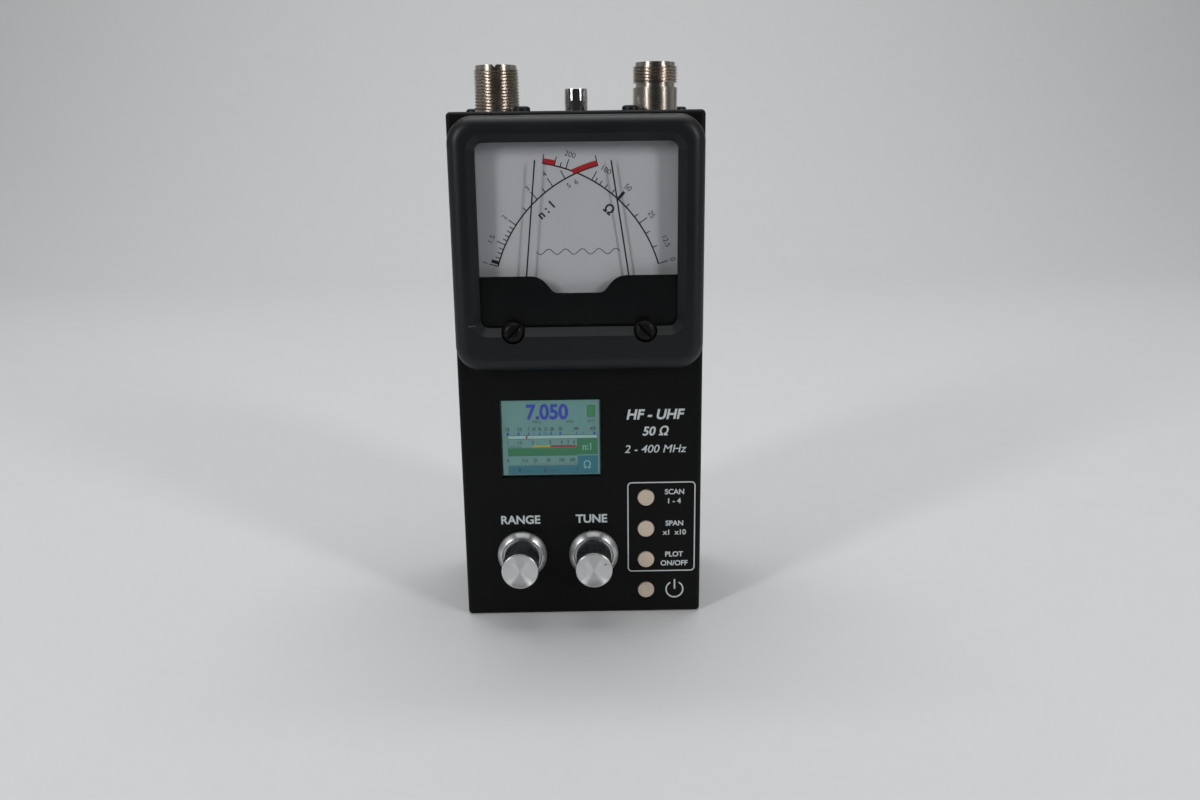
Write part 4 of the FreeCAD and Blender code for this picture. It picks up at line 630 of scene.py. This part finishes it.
class ANALYZER_OT_display(bpy.types.Operator):
    """The lit display and what it shows"""
    bl_idname = "analyzer.display"
    bl_label = "Display"

    def execute(self, context):
        dress(clear_pane("clear_cover_sheet", (0.95, 0.96, 0.97, 1.0)), "lcd_window")
        dress(dark_abs(), "lcd_holder")
        dress(lit_ink("display_glass_unlit", "0d1213", 0.05), "lcd_panel")
        layers = {}

        def layer(name, step):
            if name not in layers:
                layers[name] = Print(SCREEN + 0.015 * step, 0.01)
            return layers[name]

        display_box(layer("sky", 0), 0, 1, 0, 1)
        display_box(layer("pale", 1), 0.054, 0.98, 0.475, 0.515)
        display_box(layer("green", 1), 0.767, 0.98, 0.515, 0.735)
        display_box(layer("green", 1), 0.054, 0.767, 0.642, 0.742)
        display_box(layer("blue", 1), 0.771, 0.98, 0.75, 0.99)
        display_box(layer("blue", 1), 0.054, 0.771, 0.88, 0.985)
        display_box(layer("yellow", 1), 0.308, 0.492, 0.605, 0.632)
        display_box(layer("red", 2), 0.492, 0.762, 0.605, 0.632)
        display_box(layer("red", 2), 0.24, 0.258, 0.472, 0.516)
        display_box(layer("leaf", 1), 0.88, 0.952, 0.09, 0.228)
        display_box(layer("leaf", 1), 0.901, 0.931, 0.075, 0.09)
        display_frame(layer("ink", 2), 0.876, 0.956, 0.085, 0.234)
        display_frame(layer("ink", 2), 0.054, 0.98, 0.47, 0.52)
        display_frame(layer("ink", 2), 0.054, 0.767, 0.635, 0.745, 0.1)
        display_frame(layer("ink", 2), 0.054, 0.771, 0.873, 0.992, 0.1)
        layer("digits", 3).words("7.050", *on_display(0.466, 0.155), 5.5, bold=0.034, squeeze=0.9)
        layer("ink", 2).words("MHz", *on_display(0.36, 0.292), 1.15)
        layer("ink", 2).words("kHz", *on_display(0.70, 0.288), 1.15)
        layer("ink", 2).words("90 %", *on_display(0.918, 0.288), 1.15, squeeze=0.85)
        for text, x in BANDS:
            layer("ink", 2).words(text, *on_display(x, 0.385), 1.3, bold=0.02, squeeze=0.74)
        for x, width in BAND_MARKS:
            display_box(layer("digits", 3), x - width / 2, x + width / 2, 0.432, 0.466)
        for row, y in ((RATIO_ROW, 0.562), (OHM_ROW, 0.802)):
            for text, x in row:
                layer("ink", 2).words(text, *on_display(x, y), 1.3, bold=0.02, squeeze=0.8)
        for step in range(9):
            display_box(layer("ink", 2), 0.06 + 0.0155 * step, 0.064 + 0.0155 * step, 0.608, 0.632)
        for step in range(22):
            x = 0.18 + 0.59 * (step / 21) ** 0.82
            display_box(layer("ink", 2), x, x + 0.004, 0.842 if step % 4 else 0.832, 0.868)
        layer("letters", 3).words("n:1", *on_display(0.87, 0.625), 2.7, bold=0.006, squeeze=0.85)
        layer("letters", 3).words("Ω", *on_display(0.87, 0.868), 2.9, bold=0.006)
        layer("shade", 3).words("- -", *on_display(0.42, 0.692), 1.2, bold=0.02)
        layer("shade", 3).words("R  - - -        X  - - -", *on_display(0.36, 0.935), 1.5, bold=0.02, squeeze=0.9)
        tones = {"sky": "5d8a85", "pale": "8fb3ad", "green": "1d6b43", "blue": "1b6576", "yellow": "9c9a35",
                 "red": "86222a", "leaf": "2c7d46", "ink": "0b1614", "digits": "1c2f9c", "letters": "7fb0a4",
                 "shade": "0d2a27"}
        for name, ink in layers.items():
            ink.finish("display_" + name, lit_ink("lit_" + name, tones[name]), slot="display")
        return {"FINISHED"}


class ANALYZER_OT_case(bpy.types.Operator):
    """Finishes of the case, its cover and its screws"""
    bl_idname = "analyzer.case"
    bl_label = "Case"

    def execute(self, context):
        dress(powder_coat(), "front_case", "rear_cover")
        dress(black_oxide(), "cover_screws", "connector_screws")
        return {"FINISHED"}


def rounded_frame(ink, left, right, low, high, corner, line):
    """A closed line with round corners."""
    inner = corner - line
    for u, v, start in ((right - corner, high - corner, 0), (right - corner, low + corner, 90),
                        (left + corner, low + corner, 180), (left + corner, high - corner, 270)):
        ink.ring(u, v, inner, corner, start, start + 90, 12)
    ink.box(left + corner, right - corner, high - line, high)
    ink.box(left + corner, right - corner, low, low + line)
    ink.box(left, left + line, low + corner, high - corner)
    ink.box(right - line, right, low + corner, high - corner)


class ANALYZER_OT_panel_print(bpy.types.Operator):
    """Silver print of the front panel: generic numbers, units and signs"""
    bl_idname = "analyzer.panel_print"
    bl_label = "Panel print"

    def execute(self, context):
        ink = Print(PANEL)
        rounded_frame(ink, 16.3, 41.0, 16.2, 50.9, 1.6, sizes().label_line)
        ink.words("HF - UHF", 26.5, 76.3, 3.7, bold=0.03, lean=0.2)
        ink.words("50 Ω", 26.5, 70.1, 3.3, bold=0.024, lean=0.2)
        ink.words("2 - 400 MHz", 26.5, 63.5, 3.0, bold=0.004, lean=0.2, squeeze=1.05)
        ink.words("RANGE", -22.5, 37.3, 3.2, bold=0.028)
        ink.words("TUNE", 3.2, 37.4, 3.2, bold=0.028)
        for v, upper, lower in ((45.4, "SCAN", "1 - 4"), (33.3, "SPAN", "x1  x10"), (21.2, "PLOT", "ON/OFF")):
            ink.words(upper, 33.4, v + 1.75, 2.0, bold=0.024)
            ink.words(lower, 33.4, v - 1.75, 2.0, bold=0.024)
        ink.ring(33.6, 8.9, 2.85, 3.35, 30, 330, 48)
        ink.box(33.32, 33.88, 9.0, 12.9)
        ink.finish("panel_print", printing_ink("silver_panel_ink", colours().ink_colour, 0.5), slot="dial_paint")
        return {"FINISHED"}


# Knobs: (radius, height) from the knob's base, in millimetres

KNOB_SKIRT = [(6.1, 0.0), (8.6, 0.0), (8.85, 0.06), (8.95, 0.25), (8.95, 1.3), (8.88, 1.5), (7.5, 3.12), (7.36, 3.2),
              (7.08, 3.18), (7.0, 3.05), (7.0, 2.72), (6.9, 2.66), (6.36, 2.66)]
KNURL_LOW = 2.75
KNURL_HIGH = 15.1
KNURL_RADIUS = 6.32
KNURL_DEPTH = 0.24
KNOB_CROWN = [(6.36, 15.2), (6.45, 15.28), (6.45, 15.62), (6.4, 15.8), (6.26, 15.94), (6.05, 16.0), (5.9, 15.98),
              (5.75, 15.9), (3.0, 15.8), (0.6, 15.76), (0.0, 15.76)]
KNOB_BACK = [(6.1, 0.0), (6.1, 2.6), (3.0, 2.6)]


def knob_mesh(rows, columns):
    """A turned knob with a diamond knurl, as one mesh with three finishes."""
    bm = bmesh.new()
    per_column, per_row = 6, 5
    around = columns * per_column
    turns = [2 * math.pi * i / around for i in range(around)]

    def ring(radius, height):
        if radius == 0:
            return [bm.verts.new((0, 0, height * MM))] * around
        return [bm.verts.new((radius * MM * math.cos(t), radius * MM * math.sin(t), height * MM)) for t in turns]

    def knurl_ring(step):
        share = step / (rows * per_row)
        height = KNURL_LOW + (KNURL_HIGH - KNURL_LOW) * share
        made = []
        for i, t in enumerate(turns):
            across, up = i / per_column, step / per_row
            rise = 1 - abs(((across + up) % 1.0) - 0.5) * 2
            fall = 1 - abs(((across - up) % 1.0) - 0.5) * 2
            peak = min(rise, fall)
            radius = KNURL_RADIUS - KNURL_DEPTH * (1 - peak)
            made.append(bm.verts.new((radius * MM * math.cos(t), radius * MM * math.sin(t), height * MM)))
        return made

    def join(lower, upper, finish):
        for i in range(around):
            j = (i + 1) % around
            corners = [lower[i], lower[j], upper[j], upper[i]]
            unique = list(dict.fromkeys(corners))
            if len(unique) >= 3:
                bm.faces.new(unique).material_index = finish

    profile = [(ring(r, h), 0) for r, h in KNOB_BACK[::-1]]
    profile += [(ring(r, h), 0) for r, h in KNOB_SKIRT[1:]]
    profile += [(knurl_ring(step), 1) for step in range(rows * per_row + 1)]
    profile += [(ring(r, h), 0 if r > 5.9 else 2) for r, h in KNOB_CROWN]
    for (lower, _), (upper, finish) in zip(profile, profile[1:]):
        join(lower, upper, finish)
    bmesh.ops.recalc_face_normals(bm, faces=bm.faces)
    mesh = bpy.data.meshes.new("turned_knob")
    bm.to_mesh(mesh)
    bm.free()
    return mesh


class ANALYZER_OT_knobs(bpy.types.Operator):
    """Turned and knurled knobs, and the shafts and nuts behind them"""
    bl_idname = "analyzer.knobs"
    bl_label = "Knobs"

    def execute(self, context):
        finishes = [turned_aluminium("turned_aluminium_side", 0.33, 0.7),
                    # The knurl is the same aluminium as the rest of the knob. Its darker grey is painted shade that
                    # stands for the dark reflections its facets show.
                    surface("knurled_aluminium_painted_dark_reflection", "7c8083", 0.3, 1.0, grain=0.3, depth=0.004, shade=0.2),
                    turned_aluminium("spun_aluminium_face", 0.34, 0.85)]
        for node, body in (("band_knob", "band_control"), ("freq_knob", "tuning_control")):
            mesh = knob_mesh(sizes().knurl_rows, sizes().knurl_columns)
            mesh.name = node + "_turned"
            low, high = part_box(node)
            base = Matrix.Translation(((low[0] + high[0]) / 2, high[1], (low[2] + high[2]) / 2))
            place = base @ Matrix.Rotation(math.radians(90), 4, "X")
            knob = new_piece(node + "_turned", mesh, finishes, body, True, place)
            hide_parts(node)
        u, v = middle_of("freq_knob")
        turn = math.radians(61)
        mark = Print(face_of("freq_knob") - 0.16, 0.03)
        mark.line((u + 4.2 * math.sin(turn), v + 4.2 * math.cos(turn)),
                  (u + 5.7 * math.sin(turn), v + 5.7 * math.cos(turn)), 0.34)
        mark.finish("freq_knob_mark", printing_ink("black_engraved_fill", "1c1c1e"), "tuning_control", "needle_paint")
        dress(bright_steel(), "band_shaft", "freq_shaft", "freq_control", "shaft_nuts", "band_set_screw",
              "freq_set_screw")
        dress(dark_abs(), "band_switch")
        return {"FINISHED"}


class ANALYZER_OT_buttons(bpy.types.Operator):
    """Cream buttons and the switches behind them"""
    bl_idname = "analyzer.buttons"
    bl_label = "Buttons"

    def execute(self, context):
        dress(cream_acrylic(), "sweep_button", "width_button", "graph_button", "power_button")
        dress(dark_abs(), "tact_switches")
        return {"FINISHED"}


class ANALYZER_OT_sockets(bpy.types.Operator):
    """Finishes of the three sockets on the top"""
    bl_idname = "analyzer.sockets"
    bl_label = "Sockets"

    def execute(self, context):
        dress(nickel_plate(), "uhf_shell", "n_shell")
        dress(bright_chrome(), "rca_shell")
        dress(gilt_brass(), "uhf_contact", "n_contact", "rca_contact")
        dress(white_ptfe(), "n_insulator", "rca_insulator")
        dress(brown_phenolic(), "uhf_insulator")
        return {"FINISHED"}


class ANALYZER_OT_inside(bpy.types.Operator):
    """Finishes of what the case holds"""
    bl_idname = "analyzer.inside"
    bl_label = "Inside"

    def execute(self, context):
        dress(bright_steel(), "meter_nuts", "board_screws", "core_magnets")
        dress(plain_brass(), "meter_terminals", "pivot_jewels", "ohms_zero_lever", "swr_zero_lever",
              "ohms_hairspring", "swr_hairspring", "board_standoffs")
        dress(zinc_casting(), "movement_frames")
        dress(soft_iron(), "movement_yokes")
        dress(enamelled_copper(), "ohms_coil", "swr_coil")
        dress(solder_mask(), "main_board", "rf_board")
        dress(tin_plate(), "rf_shield")
        dress(dark_abs(), "battery_holder", "dc_jack")
        dress(cell_sleeve(), "batteries")
        return {"FINISHED"}


# Stage: the camera was fitted to the photograph's edges

CAMERA_PLACE = (2.27, -370.2, 168.0)
CAMERA_YAW = 0.763
CAMERA_PITCH = 14.158
CAMERA_ROLL = -0.687
CAMERA_LENS = 30.0
CAMERA_SENSOR = 36.0


def camera_turn():
    """The camera's axes as columns: right, up and back."""
    yaw, pitch, roll = (math.radians(a) for a in (CAMERA_YAW, CAMERA_PITCH, CAMERA_ROLL))
    ahead = Vector((math.sin(yaw) * math.cos(pitch), math.cos(yaw) * math.cos(pitch), -math.sin(pitch)))
    level = Vector((math.cos(yaw), -math.sin(yaw), 0))
    upward = level.cross(ahead)
    right = level * math.cos(roll) + upward * math.sin(roll)
    up = -level * math.sin(roll) + upward * math.cos(roll)
    return Matrix((right, up, -ahead)).transposed().to_4x4()


def sweep_mesh():
    """Floor that curves up into a backdrop far behind the object."""
    bm = bmesh.new()
    profile = [(-0.42, 0.0), (0.9, 0.0)]
    profile += [(0.9 + 0.6 * math.sin(math.radians(a)), 0.6 - 0.6 * math.cos(math.radians(a)))
                for a in range(6, 91, 6)]
    profile += [(1.5, 2.4)]
    rows = [[bm.verts.new((x, y, z)) for x in (-3.0, 3.0)] for y, z in profile]
    for lower, upper in zip(rows, rows[1:]):
        bm.faces.new((lower[0], lower[1], upper[1], upper[0]))
    mesh = bpy.data.meshes.new("paper_sweep")
    bm.to_mesh(mesh)
    bm.free()
    for polygon in mesh.polygons:
        polygon.use_smooth = True
    return mesh


def lamp(name, place, width, height, power, aim):
    """A soft box lamp that looks at a point."""
    light = bpy.data.lights.new(name, "AREA")
    light.shape = "RECTANGLE"
    light.size, light.size_y = width, height
    light.energy = power
    stand = bpy.data.objects.new(name, light)
    bpy.context.scene.collection.objects.link(stand)
    stand.location = place
    stand.rotation_mode = "QUATERNION"
    stand.rotation_quaternion = (Vector(aim) - Vector(place)).to_track_quat("-Z", "Y")


class ANALYZER_OT_stage(bpy.types.Operator):
    """Pale paper sweep, soft lamps, sky and the camera"""
    bl_idname = "analyzer.stage"
    bl_label = "Stage"

    def execute(self, context):
        scene = context.scene
        floor = bpy.data.objects.new("paper_sweep", sweep_mesh())
        scene.collection.objects.link(floor)
        floor.data.materials.append(surface("matte_paper", "d5d6d7", 0.85, grain=6.0, depth=0.02, shade=0.01,
                                            spread=0.05))
        lamp("left_softbox", (-1.0, -0.95, 0.62), 0.2, 0.6, 7.2, (0, 0, 0.1))
        lamp("right_softbox", (1.0, -0.95, 0.62), 0.2, 0.6, 6.6, (0, 0, 0.1))
        lamp("top_softbox", (0.0, 0.0, 1.5), 1.2, 1.0, 7.0, (0, 0.0, 0))
        lamp("back_softbox", (0.0, 0.6, 1.9), 2.0, 0.5, 16.0, (0, 1.7, 0.5))
        world = scene.world or bpy.data.worlds.new("studio")
        scene.world = world
        world.use_nodes = True
        tree = world.node_tree
        ahead = add(tree, "ShaderNodeTexCoord").outputs["Generated"]
        depth = add(tree, "ShaderNodeSeparateXYZ", {"Vector": ahead})
        level = add(tree, "ShaderNodeMapRange", {"Value": depth.outputs["Y"], "From Min": -0.6, "From Max": 0.3,
                                                 "To Min": 0.015, "To Max": 0.36}, interpolation_type="SMOOTHSTEP")
        sight = add(tree, "ShaderNodeLightPath").outputs
        direct = add(tree, "ShaderNodeMath", {0: sight["Is Camera Ray"], 1: sight["Is Transmission Ray"]},
                     operation="ADD")
        seen = add(tree, "ShaderNodeMath", {0: sight["Is Glossy Ray"], 1: 0.06, 2: direct.outputs[0]},
                   operation="MULTIPLY_ADD")
        pale = add(tree, "ShaderNodeMath", {0: seen.outputs[0], 1: 0.5}, operation="MULTIPLY")
        strength = add(tree, "ShaderNodeMath", {0: level.outputs[0], 1: pale.outputs[0]}, operation="MAXIMUM")
        background = tree.nodes["Background"]
        background.inputs["Color"].default_value = linear("f2f5f8")
        tree.links.new(strength.outputs[0], background.inputs["Strength"])
        camera = bpy.data.cameras.new("camera")
        camera.lens = CAMERA_LENS
        camera.sensor_width = CAMERA_SENSOR
        camera.clip_start = 0.01
        holder = bpy.data.objects.new("camera", camera)
        scene.collection.objects.link(holder)
        holder.matrix_world = Matrix.Translation(Vector(CAMERA_PLACE) * MM) @ camera_turn()
        scene.camera = holder
        scene.view_settings.view_transform = "Standard"
        return {"FINISHED"}


STEPS = (ANALYZER_OT_case, ANALYZER_OT_meter, ANALYZER_OT_dial, ANALYZER_OT_display, ANALYZER_OT_panel_print,
         ANALYZER_OT_knobs, ANALYZER_OT_buttons, ANALYZER_OT_sockets, ANALYZER_OT_inside, ANALYZER_OT_stage)


class ANALYZER_PT_panel(bpy.types.Panel):
    """Lists the analyzer's steps, sizes and colours"""
    bl_idname = "ANALYZER_PT_panel"
    bl_label = "Antenna analyzer"
    bl_space_type = "VIEW_3D"
    bl_region_type = "UI"
    bl_category = "Analyzer"

    def draw(self, context):
        for group in (context.scene.analyzer_sizes, context.scene.analyzer_colours):
            for name in group.bl_rna.properties.keys():
                if name not in ("rna_type", "name"):
                    self.layout.prop(group, name)
        for step in STEPS:
            self.layout.operator(step.bl_idname)


CLASSES = (AnalyzerSizes, AnalyzerColours, *STEPS, ANALYZER_PT_panel)


def register():
    for cls in CLASSES:
        bpy.utils.register_class(cls)
    bpy.types.Scene.analyzer_sizes = bpy.props.PointerProperty(type=AnalyzerSizes)
    bpy.types.Scene.analyzer_colours = bpy.props.PointerProperty(type=AnalyzerColours)


def unregister():
    del bpy.types.Scene.analyzer_colours
    del bpy.types.Scene.analyzer_sizes
    for cls in reversed(CLASSES):
        bpy.utils.unregister_class(cls)


def main():
    register()
    for step in STEPS:
        group, name = step.bl_idname.split(".")
        getattr(getattr(bpy.ops, group), name)()


if __name__ == "__main__":
    main()
